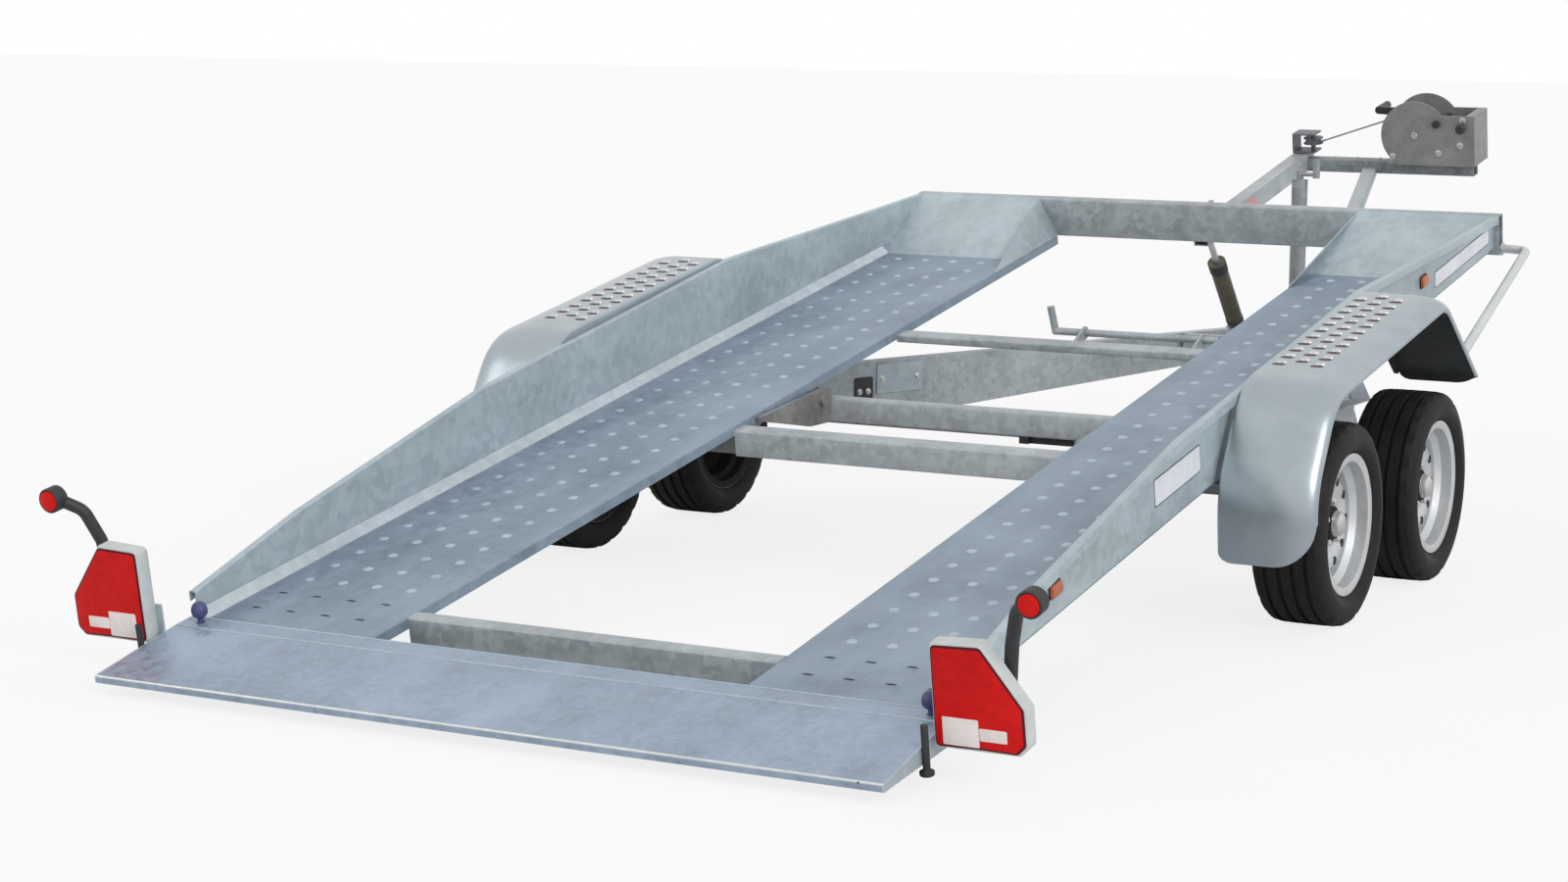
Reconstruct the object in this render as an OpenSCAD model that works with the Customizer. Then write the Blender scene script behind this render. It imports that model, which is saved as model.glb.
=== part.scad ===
// Tandem axle car trailer with a tilting twin track deck.
// Millimetres. X to the right, Y forward to the coupling, Z up.
// The origin is on the ground, at the middle of the overall length and width.
// Deck pieces are drawn in the deck's own frame: x across, v forward from the
// rear edge of the tracks, w square to the tracks.

/* [Running gear] */
// Rolling radius of a tyre
wheel_r = 262.5; // [220:0.5:340]
// Width of a tyre
tyre_w = 195; // [145:5:215]
// Distance from the centre line to the middle of a wheel
wheel_x = 1120; // [1110:1:1180]
// Distance between the two axles
axle_gap = 744; // [640:2:900]
// Radius of the rim at its flange
rim_r = 182.5; // [150:0.5:200]
// Radius of the stub axle
stub_r = 20; // [12:1:28]
// Square size of the axle tube
axle_tube = 56; // [50:1:80]
// Distance that the axle tube lies ahead of its wheels
arm_reach = 150; // [120:1:180]

/* [Chassis] */
// Distance from the centre line to the middle of a side rail
rail_x = 850; // [780:1:880]
// Width of rails and drawbar legs
rail_w = 50; // [40:1:60]
// Height of the top of the chassis above the ground
chassis_top = 440; // [400:1:460]
// Height of the underside of the side rails
rail_low = 345; // [330:1:380]
// Y place of the rear end of the side rails, from mid axles
rail_rear = -440; // [-450:1:-380]
// Y place where the rails turn in to become the drawbar, from mid axles
leg_start = 786; // [700:1:900]
// Y place where the two legs meet the drawbar nose, from mid axles
leg_end = 2840; // [2600:1:3000]
// Distance from the centre line to the leg at the nose
leg_end_x = 62; // [61:1:90]
// Height of the underside of a leg where it starts
leg_low_rear = 268; // [260:1:340]
// Height of the underside of a leg at the nose
leg_low_front = 360; // [345:1:380]
// Wall of rails and legs
rail_wall = 4; // [3:0.5:6]
// Length of the drawbar nose tube
nose_len = 450; // [350:5:600]
// Y place of the ball socket, from mid axles
ball_y = 3355; // [3250:5:3500]
// Radius of the ball socket
ball_r = 25.3; // [25.1:0.1:26]
// Radius of the coupling head around the ball
coupling_r = 45; // [38:1:55]
// Y place of the rear face of the fixed pivot beam, from mid axles
pivot_beam_y = -20; // [-20:1:40]
// Length of the pivot beam's section along Y
pivot_beam_t = 60; // [40:1:80]
// Depth of the pivot beam
pivot_beam_h = 70; // [50:1:80]

/* [Tilt pivot] */
// Tilt of the deck as it stands, nose up
tilt = 10.04; // [0:0.01:10.04]
// Y place of the tilt pivot, from mid axles
pivot_y = -76; // [-90:1:-60]
// Height of the tilt pivot
pivot_z = 440; // [430:1:455]
// Distance of the pivot below the track surface
pivot_drop = 62; // [55:1:80]
// Distance of the pivot ahead of the rear edge of the tracks
pivot_v = 2200; // [2100:5:2300]
// Radius of the pivot pins
pin_r = 12; // [8:0.5:16]
// Running clearance round pins and shafts
run_gap = 0.3; // [0.1:0.1:0.5]

/* [Deck] */
// Length of the tracks
deck_len = 3950; // [3700:10:4300]
// Half width over the side walls
deck_half = 1000; // [980:1:1010]
// Half of the open gap between the tracks
gap_half = 490; // [420:1:560]
// Thickness of the folded sheets
sheet = 3; // [2:0.5:5]
// Depth of the turned down inner edge of a track
lip = 28; // [20:1:40]
// Width of the bend at the foot of a side wall
bend = 25; // [15:1:40]
// Width of the flange on top of a side wall
flange_w = 20; // [15:1:30]
// Depth of the turned down edge of that flange
flange_d = 25; // [15:1:40]
// Height of a side wall at the rear end
wall_rear_h = 68; // [50:1:90]
// Height of a side wall at its first knee
wall_knee_h = 133; // [110:1:160]
// Place of the first knee
wall_knee_v = 430; // [350:5:600]
// Height of a side wall at its second knee
wall_mid_h = 208; // [180:1:220]
// Place of the second knee
wall_mid_v = 1260; // [1000:5:1500]
// Greatest height of a side wall
wall_top_h = 228; // [220:1:240]
// Distance from the front at which the wall starts to drop
wall_drop_a = 1330; // [1200:5:1400]
// Distance from the front at which the drop eases
wall_drop_b = 500; // [400:5:700]
// Height of a side wall where the drop eases
wall_drop_h = 163; // [150:1:180]
// Height of the front cross member above the tracks
member_h = 126; // [100:1:140]
// Length of the front cross member's section along the deck
member_t = 45; // [40:1:60]
// Wall of the deck's box sections
box_wall = 4; // [3:0.5:6]
// Length of the sloping end plate in each track
end_plate_len = 330; // [250:5:450]
// Length of the gusset beside each end plate
gusset_len = 500; // [400:5:650]
// Sideways lean of that gusset over its height
gusset_lean = 60; // [40:1:80]
// Width of the stiffener under each track
stringer_w = 40; // [30:1:60]
// Distance from the centre line to that stiffener
stringer_x = 660; // [620:5:760]
// Drop of the cross beams' tops below the tracks
beam_drop = 13; // [8:1:16]
// Place of the middle deck beam
mid_beam_v = 1720; // [1600:5:1730]
// Length of the middle deck beam's section along the deck
mid_beam_t = 60; // [40:1:70]
// Depth of the middle deck beam
mid_beam_h = 75; // [60:1:90]
// Place of the front deck beam
front_beam_v = 2730; // [2600:5:2900]
// Length of the front deck beam's section along the deck
front_beam_t = 60; // [40:1:80]
// Depth of the front deck beam
front_beam_h = 24; // [20:1:40]
// Place of the rear cross tube
rear_tube_v = 155; // [120:5:250]
// Length of the rear cross tube's section along the deck
rear_tube_t = 45; // [30:1:60]
// Depth of the rear cross tube
rear_tube_h = 66; // [40:1:70]

/* [Rear ramp] */
// Length of the ramp plate behind the tracks
ramp_len = 356; // [250:2:400]
// Thickness of the ramp plate
ramp_t = 4; // [3:0.5:8]
// Rise of the ramp's front strip over the tracks
ramp_rise = 6; // [4:0.5:12]
// Length of the flat strip at the front of the ramp
ramp_strip = 60; // [40:1:90]
// Drop of the ramp's rear edge below the tracks
ramp_fall = 12; // [8:1:16]
// Height of the ramp's rear edge
ramp_edge = 17; // [12:1:20]
// Depth of the ramp's front web below the tracks
ramp_web = 51; // [40:1:60]

/* [Mudguards] */
// Outer edge of a mudguard from the centre line
guard_out = 1245; // [1230:1:1270]
// Height of a mudguard's flat top over the tracks
guard_top = 238; // [232:1:260]
// Thickness of a mudguard
guard_t = 3; // [2:0.5:5]
// Width of a mudguard's rolled shoulder
guard_roll = 85; // [60:1:90]
// Depth of a mudguard's rolled shoulder
guard_roll_h = 30; // [20:1:40]
// Depth of the inner edge of a mudguard
guard_flange = 36; // [25:1:45]
// Depth of a mudguard's outer edge below its roll
guard_hem = 5; // [4:1:20]
// Half length of a mudguard's flat top
guard_half = 410; // [380:5:450]
// Height of the rear lower edge of a mudguard
guard_low_rear = -168; // [-180:1:-120]
// Height of the front lower edge of a mudguard
guard_low_front = -112; // [-140:1:-80]
// Radius of the stays and other bent tubes
stay_r = 14; // [8:0.5:18]

/* [Winch stand] */
// Length of the tongue ahead of the front cross member
tongue_len = 1050; // [900:5:1200]
// Width of the tongue
tongue_w = 50; // [40:1:50]
// Depth of the tongue
tongue_h = 64; // [50:1:80]
// Rise of the tongue over its length
tongue_rise = 36; // [0:1:60]
// Length of the winch rail to the right of the tongue
winch_rail_len = 595; // [560:5:650]
// Width of the winch rail
winch_rail_w = 50; // [40:1:60]
// Depth of the winch rail
winch_rail_h = 46; // [30:1:50]
// Distance from the centre line to the winch drum
drum_x = 430; // [400:1:460]
// Height of the drum's axis over the winch rail
drum_up = 104; // [90:1:120]
// Radius of the winch's round side plates
cheek_r = 118; // [90:1:125]
// Distance between the winch's side plates
cheek_gap = 144; // [120:1:160]
// Radius of the wound rope on the drum
wind_r = 66; // [40:1:80]
// Reach of the crank
crank_reach = 258; // [200:1:280]
// Distance of the crank's shaft to the right of the drum's axis
pinion_dx = 78; // [70:1:90]
// Height of the crank's shaft over the drum's axis
pinion_dw = 42; // [30:1:60]
// Radius of the winch rope
rope_r = 3; // [2:0.5:5]

/* [Ram] */
// Distance of the ram to the left of the centre line
ram_left = 70; // [66:1:80]
// Y place of the ram's foot, from mid axles
ram_foot_y = 2235; // [2220:5:2240]
// Height of the ram's foot
ram_foot_z = 470; // [468:1:480]
// Radius of the ram's cylinder
ram_r = 29; // [20:1:32]
// Length of the ram's cylinder with its collar
ram_body = 328; // [300:1:330]
// Radius of the ram's rod
rod_r = 11; // [8:0.5:14]
// Distance of the rod's upper eye ahead of the front member
rod_eye_ahead = 170; // [160:1:180]
// Height of the rod's upper eye over the tracks
rod_eye_up = 66; // [60:1:70]

/* [Jockey stand] */
// Place of the jockey stand beside the centre line
jockey_x = 120; // [110:1:140]
// Y place of the jockey stand, from mid axles
jockey_y = 2290; // [2200:5:2330]
// Radius of the jockey stand's outer tube
jockey_r = 27; // [20:1:30]
// Height of the top of the jockey stand's tube
jockey_top = 985; // [900:5:1050]
// Radius of the jockey wheel
jockey_wheel_r = 100; // [80:1:120]

/* [Rear lamps] */
// Height of a rear lamp
lamp_h = 232; // [180:1:250]
// Width of a rear lamp at its foot
lamp_w = 210; // [180:1:240]
// Width of a rear lamp at its top
lamp_top_w = 114; // [80:1:140]
// Depth of a rear lamp
lamp_d = 50; // [35:1:60]
// Distance of a rear lamp's face behind the tracks
lamp_back = 155; // [140:1:170]
// Radius of the marker heads on their rubber arms
marker_r = 30; // [24:1:36]

/* [Hidden] */
$fn = 64;

galv = [0.66, 0.70, 0.74];
galv_dark = [0.50, 0.54, 0.57];
black = [0.09, 0.09, 0.10];
steel = [0.74, 0.75, 0.77];
red = [0.75, 0.08, 0.07];
clear = 5;
seat = 0.3;

// Overall length and the shift that brings the origin to its middle
front_y = ball_y + coupling_r;
rear_y = pivot_y - (pivot_v + ramp_len) * cos(tilt) - (pivot_drop - ramp_fall) * sin(tilt);
mid_y = (front_y + rear_y) / 2;

// Deck stations
wall_x = deck_half - flange_w;
bend_x = wall_x - bend;
bend_k = sheet * tan(22.5);
wall_top = [[0, wall_rear_h], [wall_knee_v, wall_knee_h], [wall_mid_v, wall_mid_h],
    [deck_len - wall_drop_a, wall_top_h], [deck_len - wall_drop_b, wall_drop_h],
    [deck_len, member_h]];
member_front = deck_len + member_t;
gusset_angle = atan(gusset_lean / member_h);
tongue_tip = member_front + tongue_len;
tongue_low = -24;
rail_v = tongue_tip - winch_rail_w - 20;
rail_mid_v = rail_v + winch_rail_w / 2;
rail_deck_w = tongue_low + tongue_rise * (rail_v - member_front) / tongue_len;
rail_deck_top = rail_deck_w + winch_rail_h;
drum_w = rail_deck_top + drum_up;

// Chassis stations
leg_run = leg_end - leg_start;
leg_angle = atan((rail_x - leg_end_x) / leg_run);
function leg_x(y) = rail_x - (y - leg_start) * tan(leg_angle);
function leg_inner(y) = leg_x(y) - rail_w / 2 / cos(leg_angle);
axle_z = rail_low - axle_tube / 2;

// Ram geometry in the chassis frame
eye_v = member_front + rod_eye_ahead;
eye_y = pivot_y + (eye_v - pivot_v) * cos(tilt) - (rod_eye_up + pivot_drop) * sin(tilt);
eye_z = pivot_z + (eye_v - pivot_v) * sin(tilt) + (rod_eye_up + pivot_drop) * cos(tilt);
ram_angle = atan2(eye_z - ram_foot_z, ram_foot_y - eye_y);
ram_len = norm([eye_y - ram_foot_y, eye_z - ram_foot_z]);
eye_r = 16;
rod_low = 288;
ram_x = -ram_left;
eye_t = 16;
lug_t = 8;

function reversed(list) = [for (i = [len(list) - 1 : -1 : 0]) list[i]];
function lowered(path, d) = [for (p = path) [p[0], p[1] - d]];

// Places children in the frame with mid axles as its origin
module on_chassis() { translate([0, -mid_y, 0]) children(); }

// Places children in the deck's frame
module on_deck() {
    on_chassis() translate([0, pivot_y, pivot_z]) rotate([tilt, 0, 0])
        translate([0, -pivot_v, pivot_drop]) children();
}

// Extrudes a side view, drawn as (v, w) or (y, z), along x
module along_x(x0, length) {
    translate([x0, 0, 0]) rotate([90, 0, 90]) linear_extrude(length) children();
}

// Extrudes a cross section, drawn as (x, w), along v
module along_v(v0, length) {
    translate([0, v0 + length, 0]) rotate([90, 0, 0]) linear_extrude(length) children();
}

module both_sides() {
    children();
    mirror([1, 0, 0]) children();
}

module one_side(side) { if (side < 0) mirror([1, 0, 0]) children(); else children(); }

module band(path, d) { polygon(concat(path, reversed(lowered(path, d)))); }

// Box section seen in side view, open at its ends
module box_ring(v0, w0, dv, dw, wall) {
    difference() {
        translate([v0, w0]) square([dv, dw]);
        translate([v0 + wall, w0 + wall]) square([dv - 2 * wall, dw - 2 * wall]);
    }
}

// Straight round bar between two points
module bar(a, b, r) {
    d = b - a;
    translate(a) rotate([0, acos(d[2] / norm(d)), atan2(d[1], d[0])]) cylinder(h = norm(d), r = r);
}

// Bent round bar through a list of points
module bent_bar(points, r) {
    for (i = [0 : len(points) - 2]) bar(points[i], points[i + 1], r);
    for (i = [1 : 1 : len(points) - 2]) translate(points[i]) sphere(r * 1.04, $fn = 48);
}

// Link plate outline with two round ends
module link2d(a, ra, b, rb) {
    d = (b - a) / norm(b - a);
    n = [-d[1], d[0]];
    translate(a) circle(ra);
    translate(b) circle(rb);
    polygon([a + n * ra, b + n * rb, b - n * rb, a - n * ra]);
}

module treads() {
    color(galv) on_deck() both_sides() {
        along_v(0, deck_len) polygon([[gap_half, -lip], [gap_half + sheet, -lip],
            [gap_half + sheet, -sheet], [bend_x + bend_k, -sheet],
            [wall_x + sheet, bend - bend_k], [wall_x + sheet, bend], [wall_x, bend],
            [bend_x, 0], [gap_half, 0]]);
        along_v(0, deck_len) difference() {
            translate([stringer_x, -lip]) square([stringer_w, lip - sheet]);
            translate([stringer_x + sheet, -lip + sheet])
                square([stringer_w - 2 * sheet, lip - 2 * sheet]);
        }
    }
}

module side_walls() {
    color(galv) on_deck() both_sides() {
        along_x(wall_x, sheet) polygon(concat([[deck_len, bend], [0, bend]], wall_top));
        along_x(wall_x, flange_w) band(wall_top, sheet);
        along_x(deck_half - sheet, sheet) band(wall_top, flange_d);
    }
}

// Space outside the leaning face of a gusset, grown by one sheet or not
module beyond_gusset(grow) {
    translate([gap_half, 0, 0]) rotate([0, gusset_angle, 0])
        translate([grow - gap_half, 0, -deck_half]) cube([gap_half, deck_len, 2 * deck_half]);
}

module end_plates() {
    slope_t = sheet * norm([end_plate_len, member_h]) / member_h;
    color(galv) on_deck() both_sides() {
        difference() {
            along_x(gap_half, wall_x - gap_half) polygon([[deck_len - end_plate_len, 0],
                [deck_len - end_plate_len + slope_t, 0],
                [deck_len, member_h - sheet * 1.2], [deck_len, member_h]]);
            beyond_gusset(sheet / 2);
            along_v(0, deck_len) polygon([[bend_x, 0], [wall_x, bend], [deck_half, bend],
                [deck_half, -bend], [bend_x, -bend]]);
        }
        difference() {
            translate([gap_half, 0, 0]) rotate([0, gusset_angle, 0]) along_x(0, sheet)
                polygon([[deck_len - gusset_len, -sheet], [deck_len, -sheet],
                    [deck_len, member_h / cos(gusset_angle)], [deck_len - gusset_len, sheet]]);
            translate([0, 0, -bend]) cube([deck_half, deck_len, bend]);
        }
    }
}

module front_cross_member() {
    color(galv) on_deck()
        along_x(-deck_half, 2 * deck_half) box_ring(deck_len, 0, member_t, member_h, box_wall);
}

module rear_ramp() {
    color(galv) on_deck() {
        along_x(-deck_half, 2 * deck_half) polygon([[0, ramp_rise], [-ramp_strip, ramp_rise],
            [-ramp_len, -ramp_fall], [-ramp_len, -ramp_fall - ramp_edge],
            [-ramp_len + ramp_t, -ramp_fall - ramp_edge], [-ramp_len + ramp_t, -ramp_fall - ramp_t],
            [-ramp_strip, ramp_rise - ramp_t], [-ramp_t, ramp_rise - ramp_t],
            [-ramp_t, -ramp_web], [0, -ramp_web]]);
        both_sides() along_x(deck_half - ramp_t, ramp_t) polygon([[0, ramp_rise],
            [-ramp_strip, ramp_rise], [-ramp_len, -ramp_fall],
            [-ramp_len, -ramp_fall - ramp_edge], [0, -ramp_web]]);
    }
}

module rear_cross_tube() {
    color(galv) on_deck() {
        along_x(-gap_half, 2 * gap_half)
            box_ring(rear_tube_v, -rear_tube_h, rear_tube_t, rear_tube_h, box_wall);
        both_sides() along_x(gap_half - 100, 8)
            translate([rear_tube_v, -rear_tube_h - 25]) square([rear_tube_t, 25]);
    }
}

lever_r = 11;
lever_v = front_beam_v + front_beam_t + 80;
lever_w = -12;
lever_rise = 75;
lever_left = -30;

module deck_beams() {
    ear_v = front_beam_v + front_beam_t;
    color(galv) on_deck() {
        along_x(-gap_half, 2 * gap_half) {
            box_ring(mid_beam_v, -beam_drop - mid_beam_h, mid_beam_t, mid_beam_h, box_wall);
            box_ring(front_beam_v, -beam_drop - front_beam_h, front_beam_t, front_beam_h, 3);
        }
        for (x = [60, gap_half - 60]) along_x(x, 8) difference() {
            union() {
                link2d([ear_v + 10, lever_w - 12], 10, [lever_v, lever_w], lever_r + 8);
                translate([ear_v, -beam_drop - front_beam_h]) square([10, front_beam_h]);
            }
            translate([lever_v, lever_w]) circle(lever_r + run_gap);
        }
    }
}

module lock_lever() {
    color(galv) on_deck() bent_bar([[gap_half - clear, lever_v, lever_w],
        [lever_left, lever_v, lever_w], [lever_left - 12, lever_v, lever_w + lever_rise]], lever_r);
}

lug_len = 70;

module deck_lugs() {
    color(galv_dark) on_deck() both_sides() along_x(gap_half + sheet, 10) difference() {
        union() {
            translate([pivot_v, -pivot_drop]) circle(lug_len / 2 - 6);
            translate([pivot_v - lug_len / 2 + 6, -pivot_drop])
                square([lug_len - 12, pivot_drop - sheet]);
        }
        translate([pivot_v, -pivot_drop]) circle(pin_r + run_gap);
    }
}

// Rounds the corners of an open path; each corner has its own radius
function unit(a) = a / norm(a);
function corner_arc(a, b, c, r, n) =
    let (u = unit(a - b), v = unit(c - b), half = acos(u * v) / 2,
        centre = b + unit(u + v) * r / sin(half), p = b + u * r / tan(half),
        q = b + v * r / tan(half), a0 = atan2(p[1] - centre[1], p[0] - centre[0]),
        a1 = atan2(q[1] - centre[1], q[0] - centre[0]),
        turn = a1 - a0 > 180 ? a1 - a0 - 360 : a1 - a0 < -180 ? a1 - a0 + 360 : a1 - a0)
    [for (i = [0 : n]) centre + r * [cos(a0 + turn * i / n), sin(a0 + turn * i / n)]];
function rounded_path(p, r, n) = [p[0], for (i = [1 : len(p) - 2])
    each corner_arc(p[i - 1], p[i], p[i + 1], r[i - 1], n), p[len(p) - 1]];
function path_normal(p, i) =
    let (a = p[max(i - 1, 0)], b = p[min(i + 1, len(p) - 1)], t = unit(b - a)) [-t[1], t[0]];

guard_path = rounded_path([[pivot_v - guard_half - 318, guard_low_rear],
    [pivot_v - guard_half - 306, 20], [pivot_v - guard_half - 120, guard_top],
    [pivot_v + guard_half + 10, guard_top],
    [pivot_v + guard_half + 325, guard_low_front + 35],
    [pivot_v + guard_half + 335, guard_low_front]], [260, 220, 150, 60], 6);
// Section of a mudguard as (x, depth under its skin), inner edge first
guard_section = concat([[deck_half, guard_flange], [deck_half, 0],
    [guard_out - guard_roll, 0]],
    [for (a = [15 : 15 : 90]) [guard_out - guard_roll + guard_roll * sin(a),
        guard_roll_h - guard_roll_h * cos(a)]],
    [[guard_out, guard_roll_h + guard_hem], [guard_out - guard_t, guard_roll_h + guard_hem]],
    [for (a = [90 : -15 : 0]) [guard_out - guard_roll + (guard_roll - guard_t) * sin(a),
        guard_roll_h - (guard_roll_h - guard_t) * cos(a)]],
    [[deck_half + guard_t, guard_t], [deck_half + guard_t, guard_flange]]);

module mudguards() {
    m = len(guard_section);
    n = len(guard_path);
    points = [for (i = [0 : n - 1]) for (s = guard_section)
        let (q = guard_path[i] - path_normal(guard_path, i) * s[1]) [s[0], q[0], q[1]]];
    sides = [for (i = [0 : n - 2]) for (j = [0 : m - 1])
        [i * m + j, (i + 1) * m + j, (i + 1) * m + (j + 1) % m, i * m + (j + 1) % m]];
    caps = [[for (j = [0 : m - 1]) j], [for (j = [m - 1 : -1 : 0]) (n - 1) * m + j]];
    color(galv) on_deck() both_sides() polyhedron(points, concat(sides, caps), convexity = 8);
}

stay_bend_x = deck_half + 80;

module mudguard_stays() {
    color(steel) on_deck() both_sides() bent_bar([[deck_half, member_front - 20, 18],
        [stay_bend_x, member_front - 20, 14],
        [guard_out - 36, pivot_v + guard_half + 255.8, 0]], stay_r);
}

module tongue() {
    color(galv) on_deck() difference() {
        along_x(-tongue_w / 2, tongue_w) polygon([[member_front, tongue_low],
            [tongue_tip, tongue_low + tongue_rise], [tongue_tip, tongue_low + tongue_rise + tongue_h],
            [member_front, tongue_low + tongue_h]]);
        along_x(-tongue_w / 2 + box_wall, tongue_w - 2 * box_wall)
            polygon([[member_front - 1, tongue_low + box_wall],
                [tongue_tip + 1, tongue_low + tongue_rise + box_wall],
                [tongue_tip + 1, tongue_low + tongue_rise + tongue_h - box_wall],
                [member_front - 1, tongue_low + tongue_h - box_wall]]);
    }
    color(galv_dark) on_deck() along_x(-tongue_w / 2 - lug_t, lug_t) union() {
        translate([eye_v, rod_eye_up]) circle(eye_r + 8);
        translate([eye_v - eye_r - 8, 0]) square([2 * eye_r + 16, rod_eye_up]);
    }
}

module winch_rail() {
    color(galv) on_deck()
        along_x(tongue_w / 2, winch_rail_len) box_ring(rail_v, rail_deck_w, winch_rail_w,
            winch_rail_h, box_wall);
}

brace_w = 50;
brace_rail_x = 250;
brace_foot_x = 482;

module winch_brace() {
    slope = atan((brace_foot_x - brace_rail_x) / (rail_v - member_front));
    color(galv) on_deck() linear_extrude(height = 30) polygon([
        [brace_foot_x - brace_w / 2, member_front], [brace_foot_x + brace_w / 2, member_front],
        [brace_rail_x + brace_w / 2, rail_v], [brace_rail_x - brace_w / 2, rail_v]]);
}

pulley_r = 34;
pulley_x = 40;
pulley_v = tongue_tip - 45;
pulley_low = tongue_low + tongue_rise + tongue_h - 0.1;
pulley_w = pulley_low + 40;

module rope_pulley() {
    color(galv_dark) on_deck() {
        translate([-tongue_w / 2, pulley_v - 35, pulley_low]) cube([tongue_w + 30, 75, 7]);
        translate([-tongue_w / 2, pulley_v - 35, pulley_low + 7]) cube([6, 75, 56]);
        translate([-tongue_w / 2, pulley_v - 35, pulley_low + 63]) cube([tongue_w + 30, 75, 6]);
        translate([pulley_x, pulley_v, pulley_low + 7]) cylinder(h = 56, r = 8);
        translate([pulley_x, pulley_v, pulley_w - 11]) cylinder(h = 4, r = pulley_r);
        translate([pulley_x, pulley_v, pulley_w - 7]) cylinder(h = 14, r = pulley_r - 7);
        translate([pulley_x, pulley_v, pulley_w + 7]) cylinder(h = 4, r = pulley_r);
    }
}

cheek_t = 6;
cheek_near_v = rail_mid_v - cheek_gap / 2 - cheek_t;
cheek_far_v = rail_mid_v + cheek_gap / 2;
winch_end_x = tongue_w / 2 + winch_rail_len + 20;
shaft_r = 12;
pinion_r = 10;
pinion_x = drum_x + pinion_dx;
pinion_w = drum_w + pinion_dw;
crank_v = cheek_far_v + cheek_t + 8;

module cheek2d() {
    difference() {
        union() {
            intersection() {
                translate([drum_x, drum_w]) circle(cheek_r);
                translate([drum_x - cheek_r, rail_deck_top]) square(2 * cheek_r);
            }
            translate([drum_x, rail_deck_top]) square([winch_end_x - drum_x, drum_up]);
            translate([drum_x, rail_deck_top])
                square([winch_end_x - drum_x, drum_up + cheek_r * 0.6]);
        }
        translate([drum_x, drum_w]) circle(shaft_r + run_gap);
        translate([pinion_x, pinion_w]) circle(pinion_r + run_gap);
    }
}

module winch_frame() {
    color(galv_dark) on_deck() {
        along_v(cheek_near_v, cheek_t) cheek2d();
        along_v(cheek_far_v, cheek_t) cheek2d();
        translate([drum_x - cheek_r + 20, cheek_near_v + cheek_t, rail_deck_top])
            cube([winch_end_x - drum_x + cheek_r - 20, cheek_gap, cheek_t]);
        translate([winch_end_x - 30, cheek_near_v + cheek_t, rail_deck_top + cheek_t])
            cube([30, cheek_gap, drum_up + cheek_r * 0.6 - cheek_t]);
    }
}

module winch_rope() {
    color(steel) on_deck() bar([pulley_x + pulley_r - 6 + seat, rail_mid_v, pulley_w - 3],
        [drum_x - 20, rail_mid_v, drum_w + wind_r + rope_r + seat], rope_r);
}

module winch_drum() {
    color(galv_dark) on_deck() {
        along_v(cheek_near_v - 4, cheek_gap + 2 * cheek_t + 6)
            translate([drum_x, drum_w]) circle(shaft_r);
        along_v(cheek_near_v + cheek_t + clear, cheek_gap - 2 * clear)
            translate([drum_x, drum_w]) circle(wind_r);
    }
}

module winch_crank() {
    grip = [pinion_x - crank_reach, pinion_w + 8];
    color(galv_dark) on_deck() {
        along_v(cheek_near_v - 6, crank_v + 10 - cheek_near_v)
            translate([pinion_x, pinion_w]) circle(pinion_r);
        along_v(cheek_near_v - 12, 8) translate([pinion_x, pinion_w]) circle(pinion_r + 3);
        along_v(crank_v, 8) link2d([pinion_x, pinion_w], 18, grip, 12);
        along_v(crank_v + 7, 96) translate(grip) circle(14);
    }
}

bracket_t = 6;
bracket_v = -lamp_back + lamp_d;
lamp_x = deck_half + 12;
lamp_low = -12;

module lamp_brackets() {
    color(galv) on_deck() both_sides() translate([deck_half, bracket_v, -20])
        cube([lamp_w * 0.8, bracket_t, 90]);
}

module rear_lamps() {
    color(red) on_deck() both_sides() along_v(-lamp_back, lamp_d)
        polygon([[lamp_x, lamp_low], [lamp_x + lamp_w - 20, lamp_low],
            [lamp_x + lamp_w, lamp_low + 20], [lamp_x + lamp_w, lamp_low + lamp_h * 0.44],
            [lamp_x + lamp_top_w, lamp_low + lamp_h], [lamp_x, lamp_low + lamp_h - 6]]);
}

arm_r = 15;

module marker_arms() {
    arm_x = deck_half + 150;
    arm_v = bracket_v + bracket_t + arm_r;
    color(black) on_deck() both_sides() {
        bent_bar([[arm_x, arm_v, 40], [arm_x + 18, arm_v, 205], [arm_x + 42, arm_v - 20, 285],
            [arm_x + 88, -lamp_back + 20, 318]], arm_r);
        along_v(-lamp_back - 10, 45) translate([arm_x + 94, 320]) circle(marker_r);
    }
}

module side_markers() {
    color([0.62, 0.25, 0.10]) on_deck() both_sides() {
        translate([wall_x + sheet, 505, 68]) cube([12, 60, 36]);
        translate([wall_x + sheet, deck_len - 755, 84]) cube([12, 60, 36]);
    }
}

module corner_knobs() {
    color([0.20, 0.20, 0.36]) on_deck() both_sides() {
        translate([deck_half - 50, -30, ramp_rise]) cylinder(h = 20, r = 8);
        translate([deck_half - 50, -30, ramp_rise + 32]) sphere(20);
        translate([deck_half + 7.5, -lamp_back - 25, -62]) cylinder(h = 110, r = 7.5);
        translate([deck_half + 12, -lamp_back - 25, -78]) cylinder(h = 16, r = 16);
    }
}

// Plan view of a rail and its leg, offset to the side by o
function leg_plan(o) = [[rail_x + o, rail_rear], [rail_x + o, leg_start + o * tan(leg_angle / 2)],
    [leg_end_x + o / cos(leg_angle), leg_end]];
module leg_strip(o0, o1) {
    translate([0, 0, leg_low_rear - 10]) linear_extrude(height = chassis_top)
        polygon(concat(leg_plan(o0), reversed(leg_plan(o1))));
}

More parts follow.
